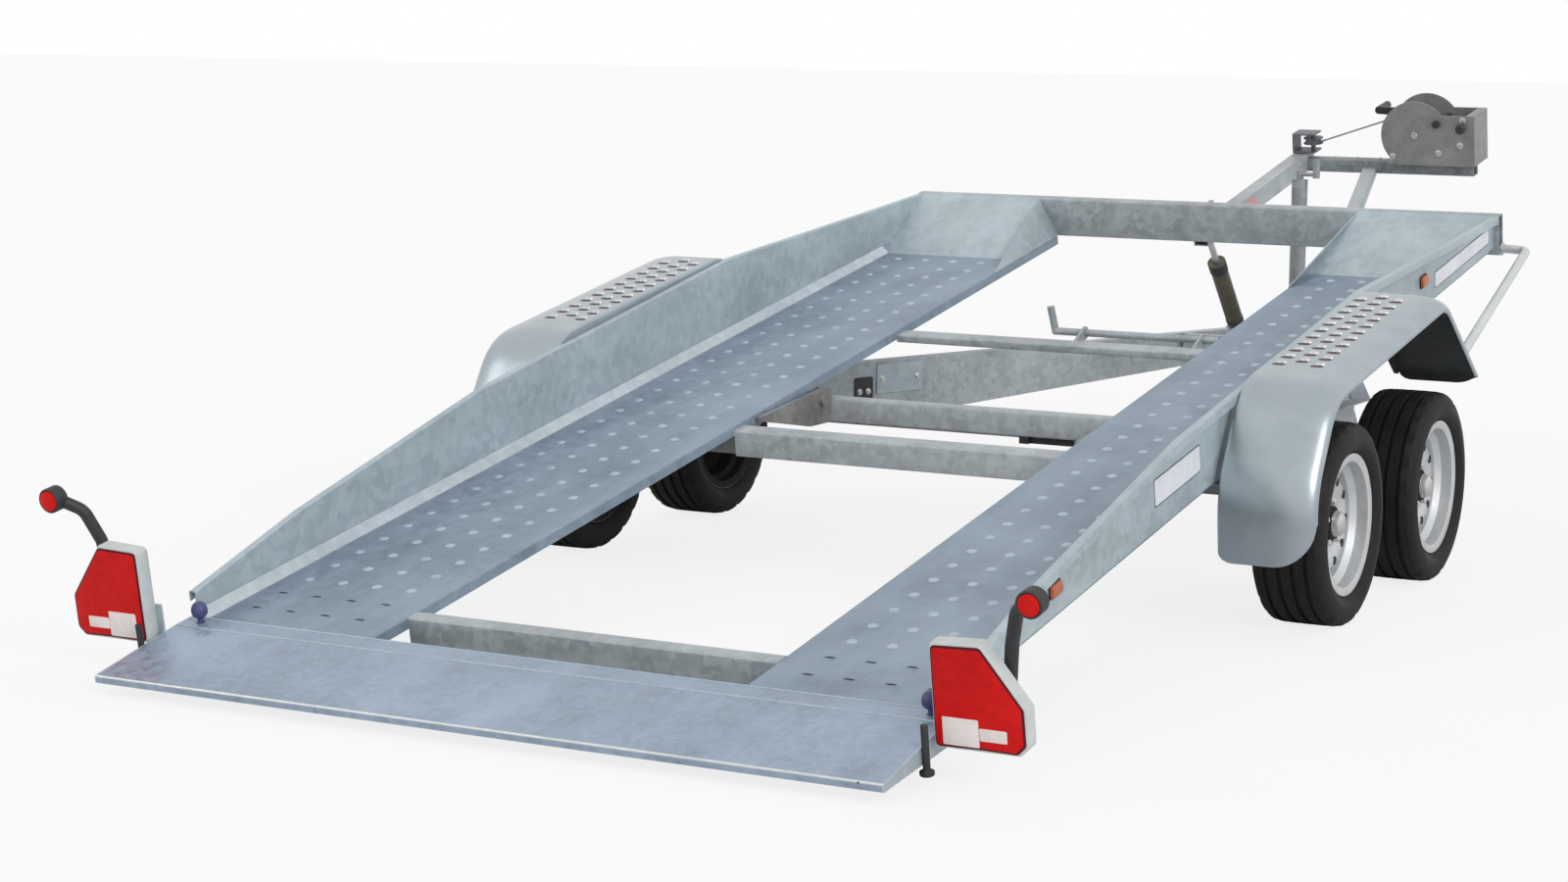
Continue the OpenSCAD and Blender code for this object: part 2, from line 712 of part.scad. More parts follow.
module drawbar_legs() {
    top = [[rail_rear, chassis_top - 55], [rail_rear + 320, chassis_top], [leg_end, chassis_top]];
    low = [[rail_rear, rail_low], [leg_start - 180, rail_low], [leg_start, leg_low_rear],
        [leg_start + 414, leg_low_rear], [leg_end, leg_low_front]];
    color(galv) on_chassis() both_sides() {
        intersection() {
            leg_strip(-rail_w / 2, rail_wall - rail_w / 2);
            along_x(0, deck_half) polygon(concat(top, reversed(low)));
        }
        intersection() {
            leg_strip(-rail_w / 2, rail_w / 2);
            along_x(0, deck_half) band(top, rail_wall);
        }
        intersection() {
            leg_strip(-rail_w / 2, rail_w / 2);
            along_x(0, deck_half) band(lowered(low, -rail_wall), rail_wall);
        }
    }
}

lug_x = gap_half - 8 - 12;
bracket_rear = -440;

module pivot_beam() {
    color(galv) on_chassis() along_x(-rail_x + rail_w / 2, 2 * rail_x - rail_w)
        box_ring(pivot_beam_y, chassis_top - pivot_beam_h, pivot_beam_t, pivot_beam_h, box_wall);
}

module hinge_brackets() {
    color(galv_dark) on_chassis() both_sides() {
        along_x(lug_x, 12) polygon([[pivot_beam_y, pivot_z + 30], [pivot_y - 20, pivot_z + 30],
            [bracket_rear, pivot_z - 10], [bracket_rear, pivot_z - 22],
            [pivot_y - 70, chassis_top - pivot_beam_h], [pivot_beam_y, chassis_top - pivot_beam_h]]);
        along_x(lug_x - 10, 55) translate([pivot_y, pivot_z]) circle(pin_r);
        along_x(lug_x - 10, 10) translate([pivot_y, pivot_z]) circle(pin_r * 1.6);
    }
}

cross_h = 50;
ram_pin_r = 8;

module drawbar_crossings() {
    ram_half = leg_inner(ram_foot_y + 25);
    plate_half = leg_inner(jockey_y + 45);
    color(galv) on_chassis() {
        along_x(-ram_half, 2 * ram_half)
            box_ring(ram_foot_y - 25, chassis_top - cross_h, 50, cross_h, box_wall);
        for (s = [-1, 1]) along_x(ram_x - lug_t / 2 + s * (eye_t / 2 + lug_t / 2 + 1), lug_t)
            union() {
                translate([ram_foot_y, ram_foot_z]) circle(20);
                translate([ram_foot_y - 20, chassis_top])
                    square([40, ram_foot_z - chassis_top]);
            }
        along_x(ram_x - 30, 60) translate([ram_foot_y, ram_foot_z]) circle(ram_pin_r);
        difference() {
            translate([-plate_half, jockey_y - 45, chassis_top - 60]) cube([2 * plate_half, 90, 10]);
            translate([jockey_x, jockey_y, chassis_top - 70]) cylinder(h = 40, r = jockey_r + seat);
        }
    }
}

arm_x0 = wheel_x - tyre_w / 2 - 45;

module axle_tubes() {
    color(galv_dark) on_chassis() for (s = [-1, 1]) along_x(-arm_x0, 2 * arm_x0)
        box_ring(s * axle_gap / 2 + arm_reach - axle_tube / 2, axle_z - axle_tube / 2,
            axle_tube, axle_tube, 6);
}

module swing_arms() {
    color(galv_dark) on_chassis() both_sides() for (s = [-1, 1]) {
        along_x(arm_x0, 25) link2d([s * axle_gap / 2 + arm_reach, axle_z], axle_tube / 2,
            [s * axle_gap / 2, wheel_r], stub_r * 1.8);
        along_x(arm_x0 + 25, tyre_w / 2 + 35) translate([s * axle_gap / 2, wheel_r])
            circle(stub_r);
    }
}

brake_x = -95;
brake_w = 215;
brake_y = axle_gap / 2 + arm_reach - axle_tube / 2 - 26;

module brake_bracket() {
    color(black) on_chassis() difference() {
        translate([brake_x, brake_y, 276]) cube([brake_w, 26, 34]);
        translate([brake_x + 30, brake_y - 1, 270]) cube([brake_w - 60, 18, 28]);
    }
}

nose_w = 70;

module drawbar_nose() {
    plate_rear = leg_end - 330;
    plate_rear_x = leg_x(plate_rear) + rail_w / 2;
    color(galv) on_chassis() {
        along_v(leg_end - 120, nose_len) difference() {
            translate([-nose_w / 2, leg_low_front]) square([nose_w, chassis_top - leg_low_front]);
            translate([-nose_w / 2 + box_wall, leg_low_front + box_wall])
                square([nose_w - 2 * box_wall, chassis_top - leg_low_front - 2 * box_wall]);
        }
        translate([0, 0, chassis_top]) linear_extrude(height = 6) polygon([
            [-plate_rear_x, plate_rear], [plate_rear_x, plate_rear],
            [leg_end_x + rail_w / 2, leg_end], [nose_w / 2, leg_end + 60],
            [-nose_w / 2, leg_end + 60], [-leg_end_x - rail_w / 2, leg_end]]);
    }
}

module coupling_head() {
    color(black) on_chassis() difference() {
        union() {
            translate([-nose_w / 2, ball_y - 300, chassis_top]) cube([nose_w, 160, 40]);
            along_x(-28, 56) polygon([[ball_y - 200, chassis_top], [ball_y - 140, chassis_top],
                [ball_y - 60, chassis_top - 60], [ball_y, chassis_top - 60],
                [ball_y, chassis_top + 5], [ball_y - 150, chassis_top + 40],
                [ball_y - 200, chassis_top + 40]]);
            translate([0, ball_y, chassis_top - 85]) cylinder(h = 80, r = coupling_r);
            translate([0, ball_y, chassis_top - 5]) cylinder(h = 15, r1 = coupling_r, r2 = 25);
            bent_bar([[0, ball_y - 30, chassis_top + 10], [0, ball_y - 60, chassis_top + 50],
                [0, ball_y - 190, chassis_top + 75]], 13);
        }
        translate([0, ball_y, chassis_top - 86]) cylinder(h = 51, r = ball_r);
    }
}

jockey_low = 2 * jockey_wheel_r + 20;

module jockey_stand() {
    color(galv_dark) on_chassis() translate([jockey_x, jockey_y, 0]) {
        translate([0, 0, 300]) cylinder(h = jockey_top - 300, r = jockey_r);
        translate([0, 0, jockey_low]) cylinder(h = 300 - jockey_low, r = jockey_r - 5);
        translate([0, 0, jockey_top]) cylinder(h = 32, r = 12);
        bar([0, 0, jockey_top + 18], [66, -18.6, jockey_top + 18], 7);
        bar([64, -18, jockey_top + 6], [64, -18, jockey_top + 70], 12);
        translate([-40, -22, jockey_low - 6]) cube([80, 44, 6]);
        for (s = [-1, 1]) along_x(s * 37 - 3, 6)
            link2d([0, jockey_wheel_r], 16, [0, jockey_low - 16], 16);
        along_x(-40, 80) translate([0, jockey_wheel_r]) circle(8);
    }
}

module jockey_wheel() {
    color(black) on_chassis() translate([jockey_x, jockey_y, jockey_wheel_r])
        rotate([0, 90, 0]) rotate_extrude() difference() {
            union() {
                translate([8 + seat, -30]) square([22, 60]);
                translate([20, -20]) square([jockey_wheel_r - 32, 40]);
                translate([jockey_wheel_r - 30, -26]) square([20, 52]);
                translate([jockey_wheel_r - 30, -16]) square([30, 32]);
                for (s = [-1, 1]) translate([jockey_wheel_r - 10, s * 16]) circle(10);
            }
        }
}

bead = 77;
seat_r = rim_r - 17;

// Tyre section: radius across, wheel axis up
module tyre(side, y) {
    half = tyre_w / 2;
    shoulder = 30;
    color(black) on_chassis() one_side(side) translate([wheel_x, y, wheel_r])
        rotate([0, 90, 0]) rotate_extrude($fn = 96) {
            polygon([[seat_r + seat, -bead], [rim_r + 1, -bead], [rim_r + 7, -bead - 10],
                [rim_r + 18, -half], [wheel_r - shoulder, -half], [wheel_r - shoulder, half],
                [rim_r + 18, half], [rim_r + 7, bead + 10], [rim_r + 1, bead],
                [seat_r + seat, bead]]);
            translate([wheel_r - shoulder - 1, -half + shoulder])
                square([shoulder + 1, tyre_w - 2 * shoulder]);
            for (s = [-1, 1]) translate([wheel_r - shoulder, s * (half - shoulder)])
                circle(shoulder);
        }
}

hub_r = 45;

module rim(side, y) {
    well = seat_r - 16;
    color(steel) on_chassis() one_side(side) translate([wheel_x, y, wheel_r])
        rotate([0, 90, 0]) rotate_extrude($fn = 96) {
            polygon([[rim_r, -bead - 6], [rim_r, -bead - 1.5], [seat_r, -bead - 0.5],
                [seat_r, -52], [well, -42], [well, 32], [seat_r, 47], [seat_r, bead + 0.5],
                [rim_r, bead + 1.5], [rim_r, bead + 6], [rim_r - 4, bead + 6],
                [seat_r - 4, bead + 2], [seat_r - 4, 49], [well - 4, 34], [well - 4, -44],
                [seat_r - 4, -54], [seat_r - 4, -bead - 2], [rim_r - 4, -bead - 6]]);
            polygon([[well - 1, 4], [well - 1, 10], [128, 36], [104, 42], [76, 30],
                [hub_r - 2, 30], [hub_r - 2, 24], [78, 24], [104, 35], [125, 30]]);
            polygon([[stub_r + run_gap, -70], [hub_r, -70], [hub_r, 42], [34, 46], [30, 62],
                [22, 68], [0, 70], [0, 20], [stub_r + run_gap, 20]]);
        }
}

// Places children at the ram's foot, with +Z along the ram
module on_ram() {
    on_chassis() translate([ram_x, ram_foot_y, ram_foot_z])
        rotate([90 - ram_angle, 0, 0]) children();
}

module ram_cylinder() {
    on_ram() {
        color([0.20, 0.20, 0.14]) difference() {
            union() {
                along_x(-eye_t / 2, eye_t) circle(eye_r);
                translate([0, 0, 14]) cylinder(h = 16, r = eye_t / 2);
                translate([0, 0, 28]) cylinder(h = ram_body - 52, r = ram_r);
            }
            along_x(-eye_t, 2 * eye_t) circle(ram_pin_r + run_gap);
            translate([0, 0, 50]) cylinder(h = ram_body, r = rod_r + run_gap);
        }
        color(black) translate([0, 0, ram_body - 24]) difference() {
            cylinder(h = 24, r = ram_r + 2);
            translate([0, 0, -1]) cylinder(h = 26, r = rod_r + run_gap);
        }
    }
}

module ram_rod() {
    color(steel) on_ram() {
        translate([0, 0, rod_low]) cylinder(h = ram_len - rod_low - eye_r + 4, r = rod_r);
        translate([0, 0, ram_len]) along_x(-eye_t / 2, eye_t) circle(eye_r);
        translate([0, 0, ram_len]) along_x(-eye_t / 2 - 4, ram_left - tongue_w / 2 - lug_t
            + eye_t / 2 + 4 - clear) circle(ram_pin_r);
    }
}

treads();
side_walls();
end_plates();
front_cross_member();
rear_ramp();
rear_cross_tube();
deck_beams();
deck_lugs();
lock_lever();
mudguards();
mudguard_stays();
tongue();
winch_rail();
winch_brace();
rope_pulley();
winch_frame();
winch_rope();
lamp_brackets();
rear_lamps();
marker_arms();
side_markers();
corner_knobs();
drawbar_legs();
pivot_beam();
hinge_brackets();
drawbar_crossings();
axle_tubes();
swing_arms();
brake_bracket();
drawbar_nose();
coupling_head();
jockey_stand();
jockey_wheel();
tyre(-1, axle_gap / 2);  // front_left_tyre
rim(-1, axle_gap / 2);  // front_left_rim
tyre(1, axle_gap / 2);  // front_right_tyre
rim(1, axle_gap / 2);  // front_right_rim
tyre(-1, -axle_gap / 2);  // rear_left_tyre
rim(-1, -axle_gap / 2);  // rear_left_rim
tyre(1, -axle_gap / 2);  // rear_right_tyre
rim(1, -axle_gap / 2);  // rear_right_rim
ram_cylinder();
ram_rod();
winch_drum();
winch_crank();
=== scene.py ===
import math

import bmesh
import bpy
from mathutils import Matrix, Vector


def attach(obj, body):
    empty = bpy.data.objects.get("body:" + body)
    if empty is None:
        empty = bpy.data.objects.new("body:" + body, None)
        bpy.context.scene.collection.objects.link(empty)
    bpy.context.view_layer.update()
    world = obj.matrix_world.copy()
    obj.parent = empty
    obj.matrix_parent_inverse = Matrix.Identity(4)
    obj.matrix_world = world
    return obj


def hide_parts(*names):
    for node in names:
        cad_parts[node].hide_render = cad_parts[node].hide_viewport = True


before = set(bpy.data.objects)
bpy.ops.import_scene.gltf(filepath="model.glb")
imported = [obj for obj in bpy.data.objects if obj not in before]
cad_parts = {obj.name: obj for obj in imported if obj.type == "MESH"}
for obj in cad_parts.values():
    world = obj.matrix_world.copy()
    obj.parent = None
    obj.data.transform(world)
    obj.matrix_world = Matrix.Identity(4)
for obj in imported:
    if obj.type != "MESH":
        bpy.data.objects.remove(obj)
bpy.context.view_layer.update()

# Lengths are in metres. The deck's frame: x across, v forward from the rear edge of the tracks,
# w square to them. It tips by TILT about PIVOT_Y, PIVOT_Z, an axis that lies PIVOT_V along the
# deck and PIVOT_DROP below its face. MID_Y is the middle of the trailer's length, measured from
# the middle of the axles.
TILT = math.radians(10.04)
MID_Y = 0.3992125
PIVOT_Y, PIVOT_Z, PIVOT_V, PIVOT_DROP = -0.076, 0.440, 2.200, 0.062
DECK_LEN, DECK_HALF, GAP_HALF, SHEET = 3.950, 1.000, 0.490, 0.003
MEMBER_T, MEMBER_H = 0.045, 0.126
MEMBER_FRONT = DECK_LEN + MEMBER_T
TONGUE_LEN, TONGUE_LOW, TONGUE_RISE = 1.050, -0.024, 0.036
TONGUE_TIP = MEMBER_FRONT + TONGUE_LEN
RAIL_V = TONGUE_TIP - 0.070
RAIL_MID = RAIL_V + 0.025
RAIL_W = TONGUE_LOW + TONGUE_RISE * (RAIL_V - MEMBER_FRONT) / TONGUE_LEN
RAIL_TOP = RAIL_W + 0.046
DRUM_X, DRUM_W = 0.430, RAIL_TOP + 0.104
CHEEK_NEAR, CHEEK_FAR = RAIL_MID - 0.078, RAIL_MID + 0.072


def deck(x, v, w):
    """A point of the deck's frame, in the shared frame."""
    c, s = math.cos(TILT), math.sin(TILT)
    y = PIVOT_Y + (v - PIVOT_V) * c - (w + PIVOT_DROP) * s - MID_Y
    return (x, y, PIVOT_Z + (v - PIVOT_V) * s + (w + PIVOT_DROP) * c)


def ground(x, y, z):
    """A point given from the middle of the axles and the floor, in the shared frame."""
    return (x, y - MID_Y, z)


# Outlines
def fillet(points, radii, steps=4):
    """An open outline with its inner corners rounded."""
    out = [Vector(points[0])]
    for a, b, c, r in zip(points, points[1:], points[2:], radii):
        a, b, c = Vector(a), Vector(b), Vector(c)
        u, v = (a - b).normalized(), (c - b).normalized()
        half = u.angle(v) / 2
        d = min(r / math.tan(half), (a - b).length * 0.49, (c - b).length * 0.49)
        p, q = b + u * d, b + v * d
        for i in range(steps + 1):
            t = i / steps
            out.append(p * (1 - t) ** 2 + b * 2 * t * (1 - t) + q * t * t)
    return out + [Vector(points[-1])]


def offset(path, d):
    """The outline moved to its right by d."""
    out = []
    for i, p in enumerate(path):
        a, b = path[max(i - 1, 0)], path[min(i + 1, len(path) - 1)]
        t = (b - a).normalized()
        n = Vector((t[1], -t[0]))
        if 0 < i < len(path) - 1:
            e = (p - a).normalized()
            n = n / max(n.dot(Vector((e[1], -e[0]))), 0.5)
        out.append(p + n * d)
    return out


def folded(points, radii, d, steps=4):
    """The closed section of a folded sheet."""
    path = fillet(points, radii, steps)
    return path + offset(path, d)[::-1]


def round_rect(a0, a1, b0, b1, r, steps=3):
    """A rectangle from a0 to a1 and b0 to b1, with corners of radius r."""
    out = []
    for ca, cb, start in ((a1 - r, b1 - r, 0), (a0 + r, b1 - r, 90), (a0 + r, b0 + r, 180),
                          (a1 - r, b0 + r, 270)):
        for i in range(steps + 1):
            t = math.radians(start + 90 * i / steps)
            out.append(Vector((ca + r * math.cos(t), cb + r * math.sin(t))))
    return out


def oval(ca, cb, ra, rb, n=16):
    turn = 2 * math.pi
    return [Vector((ca + ra * math.cos(turn * i / n), cb + rb * math.sin(turn * i / n)))
            for i in range(n)]


def link(a, ra, b, rb, n=10):
    """Plate outline round two circles."""
    a, b = Vector(a), Vector(b)
    base = math.atan2(b[1] - a[1], b[0] - a[0])
    out = []
    for c, r, start in ((b, rb, base - math.pi / 2), (a, ra, base + math.pi / 2)):
        for i in range(n + 1):
            t = start + math.pi * i / n
            out.append(c + Vector((math.cos(t), math.sin(t))) * r)
    return out


class Piece:
    """One mesh made of closed shells, in the deck's frame or the chassis frame."""

    def __init__(self, name, body, slot, place=deck):
        self.name, self.body, self.slot, self.place = name, body, slot, place
        self.points, self.faces, self.marks, self.mats = [], [], [], []

    def add(self, points, faces, mat):
        if mat not in self.mats:
            self.mats.append(mat)
        k = len(self.points)
        self.points += [self.place(*p) for p in points]
        self.faces += [[k + i for i in f] for f in faces]
        self.marks += [self.mats.index(mat)] * len(faces)

    def loft(self, rings, mat, around=False):
        """A skin over the rings: capped at both ends, or joined to itself all the way round."""
        n, m = len(rings[0]), len(rings)
        faces = []
        for i in range(m if around else m - 1):
            for j in range(n):
                a, b = i * n + j, i * n + (j + 1) % n
                c, d = ((i + 1) % m) * n + (j + 1) % n, ((i + 1) % m) * n + j
                faces.append((a, b, c, d))
        if not around:
            faces += [tuple(range(n)), tuple(range((m - 1) * n, m * n))]
        self.add([p for r in rings for p in r], faces, mat)

    def hollow(self, outers, inners, mat):
        """A tube through matching rings, open at both ends."""
        n, m = len(outers[0]), len(outers)
        faces = []
        for base in (0, m * n):
            for i in range(m - 1):
                for j in range(n):
                    a, b = base + i * n + j, base + i * n + (j + 1) % n
                    faces.append((a, b, b + n, a + n))
        for i in (0, m - 1):
            for j in range(n):
                a, b = i * n + j, i * n + (j + 1) % n
                faces.append((a, b, m * n + b, m * n + a))
        self.add([p for r in outers + inners for p in r], faces, mat)

    def across(self, outline, x0, x1, mat):
        """A (v, w) outline drawn from x0 to x1."""
        self.loft([[(x, p[0], p[1]) for p in outline] for x in (x0, x1)], mat)

    def along(self, outline, v0, v1, mat, side=1):
        """An (x, w) outline drawn from v0 to v1."""
        self.loft([[(side * p[0], v, p[1]) for p in outline] for v in (v0, v1)], mat)

    def upright(self, side, box, r, layers, mat):
        """A rounded plate on a wall: layers of (x, how far its edge draws in)."""
        v0, v1, w0, w1 = box
        self.loft([[(side * x, p[0], p[1]) for p in round_rect(v0 + g, v1 - g, w0 + g, w1 - g, r)]
                   for x, g in layers], mat)

    def boss(self, side, x, v, layers, mat, n=14, w=0.0):
        """A raised oval on a level sheet: layers of (half width, half length, height)."""
        self.loft([[(side * p[0], p[1], w + h) for p in oval(x, v, a, b, n)]
                   for a, b, h in layers], mat)

    def tube_across(self, v0, v1, w0, w1, wall, x0, x1, mat, r=0.006):
        """A rounded box section from x0 to x1."""
        o = round_rect(v0, v1, w0, w1, r)
        i = round_rect(v0 + wall, v1 - wall, w0 + wall, w1 - wall, max(r - wall, 0.001))
        self.hollow([[(x, p[0], p[1]) for p in o] for x in (x0, x1)],
                    [[(x, p[0], p[1]) for p in i] for x in (x0, x1)], mat)

    def rod(self, points, r, mat, n, radii, steps):
        """A round bar through the points, bent at the inner ones."""
        path = fillet(points, radii, steps)
        rings, up = [], None
        for i, p in enumerate(path):
            t = (path[min(i + 1, len(path) - 1)] - path[max(i - 1, 0)]).normalized()
            if up is None:
                up = t.orthogonal().normalized()
            up = (up - t * up.dot(t)).normalized()
            side = t.cross(up)
            rings.append([tuple(p + (up * math.cos(2 * math.pi * j / n)
                                     + side * math.sin(2 * math.pi * j / n)) * r)
                          for j in range(n)])
        self.loft(rings, mat)

    def turned(self, origin, axis, profile, mat, n=32, closed=False, wave=None):
        """A profile of (place along the axis, radius) turned round the axis."""
        o, a = Vector(origin), Vector(axis).normalized()
        e = a.orthogonal().normalized()
        f = a.cross(e)
        rings = []
        for i, (h, r) in enumerate(profile):
            ring = []
            for j in range(n):
                k = r + (wave(i, j) if wave else 0)
                t = 2 * math.pi * j / n
                ring.append(tuple(o + a * h + (e * math.cos(t) + f * math.sin(t)) * k))
            rings.append(ring)
        self.loft(rings, mat, around=closed)

    def bolt(self, origin, axis, r=0.008, mat=None, h=0.006):
        """Washer and hexagon head."""
        mat = mat or zinc
        washer = [(-0.0005, r * 1.3), (0.0012, r * 1.3), (0.0016, r * 1.2)]
        self.turned(origin, axis, washer, mat, 20)
        self.turned(origin, axis, [(0.0014, r), (h * 0.85, r), (h, r * 0.82)], mat, 6)

    def done(self, *replaced, smooth=32):
        """Makes the object. It rides on its body and stands for the solids named here."""
        mesh = bpy.data.meshes.new(self.name)
        mesh.from_pydata(self.points, [], self.faces)
        for m in self.mats:
            mesh.materials.append(m)
        mesh.polygons.foreach_set("material_index", self.marks)
        bm = bmesh.new()
        bm.from_mesh(mesh)
        bmesh.ops.recalc_face_normals(bm, faces=bm.faces)
        bm.to_mesh(mesh)
        bm.free()
        mesh.polygons.foreach_set("use_smooth", [True] * len(mesh.polygons))
        mesh.set_sharp_from_angle(angle=math.radians(smooth))
        mesh.update()
        ob = bpy.data.objects.new(self.name, mesh)
        bpy.context.scene.collection.objects.link(ob)
        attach(ob, self.body)
        if replaced:
            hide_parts(*replaced)


# Materials
class Shader:
    """One material: a principled shader, with nodes added by small methods."""

    def __init__(self, name):
        self.material = bpy.data.materials.new(name)
        self.material.use_nodes = True
        self.tree = self.material.node_tree
        self.tree.nodes.clear()
        out = self.tree.nodes.new("ShaderNodeOutputMaterial")
        self.main = self.tree.nodes.new("ShaderNodeBsdfPrincipled")
        self.tree.links.new(self.main.outputs[0], out.inputs[0])
        self.coords = self.tree.nodes.new("ShaderNodeTexCoord").outputs["Object"]

    def node(self, kind, links=None, **values):
        n = self.tree.nodes.new("ShaderNode" + kind)
        for k, v in values.items():
            if k in n.inputs:
                n.inputs[k].default_value = v
            else:
                setattr(n, k, v)
        for k, v in (links or {}).items():
            self.tree.links.new(v, n.inputs[k])
        return n

    def stretched(self, x, y, z):
        return self.node("Mapping", {"Vector": self.coords}, Scale=(x, y, z)).outputs[0]

    def noise(self, scale, detail=4.0, rough=0.55, at=None):
        return self.node("TexNoise", {"Vector": at or self.coords}, Scale=scale, Detail=detail,
                         Roughness=rough).outputs["Fac"]

    def ramp(self, fac, *stops):
        n = self.node("ValToRGB", {"Fac": fac})
        e = n.color_ramp.elements
        while len(e) < len(stops):
            e.new(0.5)
        for k, (at, colour) in zip(e, stops):
            k.position = at
            k.color = (*colour, 1)
        return n.outputs[0]

    def blend(self, fac, a, b):
        n = self.node("Mix", data_type="RGBA", blend_type="MIX")
        for at, value in ((0, fac), (6, a), (7, b)):
            if isinstance(value, (float, int)):
                n.inputs[at].default_value = value
            elif isinstance(value, tuple):
                n.inputs[at].default_value = (*value, 1)
            else:
                self.tree.links.new(value, n.inputs[at])
        return n.outputs[2]

    def span(self, value, low, high, a=0.0, b=1.0):
        """value, taken from a..b to low..high."""
        n = self.node("MapRange", {"Value": value})
        for k, v in zip(("From Min", "From Max", "To Min", "To Max"), (a, b, low, high)):
            n.inputs[k].default_value = v
        return n.outputs[0]

    def bump(self, height, strength, distance=0.001):
        n = self.node("Bump", {"Height": height}, Strength=strength, Distance=distance)
        self.tree.links.new(n.outputs[0], self.main.inputs["Normal"])

    def use(self, colour, rough, metallic=0.0, **more):
        self.tree.links.new(colour, self.main.inputs["Base Color"])
        self.tree.links.new(rough, self.main.inputs["Roughness"])
        self.main.inputs["Metallic"].default_value = metallic
        for k, v in more.items():
            self.main.inputs[k.replace("_", " ")].default_value = v
        return self.material


def galvanised(name, dark, light, cells, metallic, rough, grime=0.25):
    """Zinc with its spangle, clouds, streaks along the sheet and grime."""
    s = Shader(name)
    flow = s.node("VectorMath", {0: s.coords}, operation="ADD")
    small = s.node("VectorMath", {0: s.node("TexNoise", {"Vector": s.coords}, Scale=24.0,
                                            Detail=2.0).outputs["Color"]}, operation="SCALE")
    small.inputs[3].default_value = 0.02
    s.tree.links.new(small.outputs[0], flow.inputs[1])
    cell = s.node("TexVoronoi", {"Vector": flow.outputs[0]}, Scale=cells)
    shade = s.node("RGBToBW", {0: cell.outputs["Color"]}).outputs[0]
    cloud = s.noise(2.3, 6.0, 0.6)
    streak = s.noise(9.0, 5.0, 0.6, s.stretched(1.0, 0.12, 1.0))
    tone = s.ramp(shade, (0.25, dark), (0.75, light))
    soft = s.ramp(cloud, (0.35, tuple(0.86 * c for c in dark)),
                  (0.7, tuple(1.06 * c for c in light)))
    mixed = s.blend(0.55, tone, soft)
    dusty = s.blend(s.span(streak, 0.0, 0.45, 0.45, 0.75), mixed,
                    tuple(min(1.0, 1.12 * c + 0.02) for c in light))
    dirt = s.span(s.noise(5.0, 8.0, 0.7), 0.0, grime, 0.56, 0.72)
    colour = s.blend(dirt, dusty, tuple(0.55 * c for c in dark))
    rough_out = s.span(shade, rough[0], rough[1], 0.2, 0.8)
    s.bump(s.blend(0.5, cell.outputs["Distance"], s.noise(60.0, 4.0)), 0.10, 0.0006)
    return s.use(colour, rough_out, metallic)


def plain(name, dark, light, rough, metallic, scale, bump, **more):
    """A finish that varies finely and broadly between two tones."""
    s = Shader(name)
    n = s.noise(scale, 6.0, 0.65)
    big = s.noise(scale * 0.12, 5.0, 0.6)
    colour = s.blend(0.5, s.ramp(n, (0.35, dark), (0.68, light)),
                     s.ramp(big, (0.35, dark), (0.65, light)))
    s.bump(n, bump, 0.0005)
    return s.use(colour, s.span(big, rough[0], rough[1], 0.3, 0.7), metallic, **more)


galv = galvanised("galvanised_sheet", (0.355, 0.425, 0.46), (0.49, 0.57, 0.61), 42.0, 0.3,
                  (0.38, 0.55))
galv_deck = galvanised("galvanised_track", (0.19, 0.25, 0.32), (0.31, 0.385, 0.465), 36.0, 0.35,
                       (0.40, 0.60), 0.35)
galv_guard = plain("galvanised_guard", (0.31, 0.36, 0.39), (0.42, 0.475, 0.505), (0.22, 0.32), 0.7,
                   9.0, 0.03)
galv_ramp = galvanised("galvanised_ramp", (0.24, 0.30, 0.375), (0.37, 0.455, 0.57), 60.0, 0.35,
                       (0.32, 0.50), 0.2)
galv_beam = galvanised("galvanised_beam", (0.30, 0.335, 0.35), (0.50, 0.54, 0.555), 55.0, 0.3,
                       (0.42, 0.60), 0.3)
galv_rail = galvanised("galvanised_rail", (0.17, 0.19, 0.20), (0.32, 0.35, 0.36), 55.0, 0.35,
                       (0.42, 0.60), 0.3)
worn = plain("worn_zinc", (0.34, 0.42, 0.50), (0.52, 0.60, 0.67), (0.30, 0.48), 0.4, 60.0, 0.2)
# Lighter zinc for the strip along the tracks' fold: painted highlight of the bend.
fold_highlight = plain("fold_highlight", (0.36, 0.43, 0.47), (0.58, 0.64, 0.67), (0.26, 0.40),
                   0.4, 26.0, 0.1)
bright = plain("bright_zinc", (0.52, 0.54, 0.55), (0.70, 0.72, 0.72), (0.28, 0.42), 0.5, 40.0, 0.1)
zinc = plain("zinc_bolt", (0.45, 0.45, 0.44), (0.72, 0.72, 0.70), (0.25, 0.42), 0.85, 90.0, 0.1)
dull = plain("dull_steel", (0.16, 0.16, 0.165), (0.36, 0.36, 0.36), (0.40, 0.62), 0.5, 40.0, 0.2)
winch_grey = plain("winch_grey", (0.19, 0.19, 0.19), (0.33, 0.33, 0.32), (0.38, 0.55),
                   0.4, 25.0, 0.15)
black = plain("black_rubber", (0.012, 0.012, 0.013), (0.04, 0.04, 0.042), (0.45, 0.7),
              0.0, 50.0, 0.3)
iron = plain("black_iron", (0.015, 0.015, 0.016), (0.05, 0.05, 0.05), (0.35, 0.6), 0.2, 35.0, 0.25)
# Near black for the mudguards' inner faces: painted shade.
shade_in = plain("guard_inside_shade", (0.020, 0.024, 0.024), (0.05, 0.058, 0.058), (0.6, 0.8),
                 0.1, 20.0, 0.2)
tyre_mat = plain("tyre_rubber", (0.007, 0.0075, 0.007), (0.020, 0.021, 0.019), (0.55, 0.8),
                 0.0, 70.0, 0.25, Specular_IOR_Level=0.25)
rim_mat = plain("rim_silver", (0.52, 0.53, 0.54), (0.72, 0.73, 0.74), (0.26, 0.42),
                0.65, 18.0, 0.08)
red = plain("lens_red", (0.50, 0.004, 0.004), (0.72, 0.010, 0.008), (0.16, 0.28),
            0.0, 40.0, 0.05, Specular_IOR_Level=0.15)
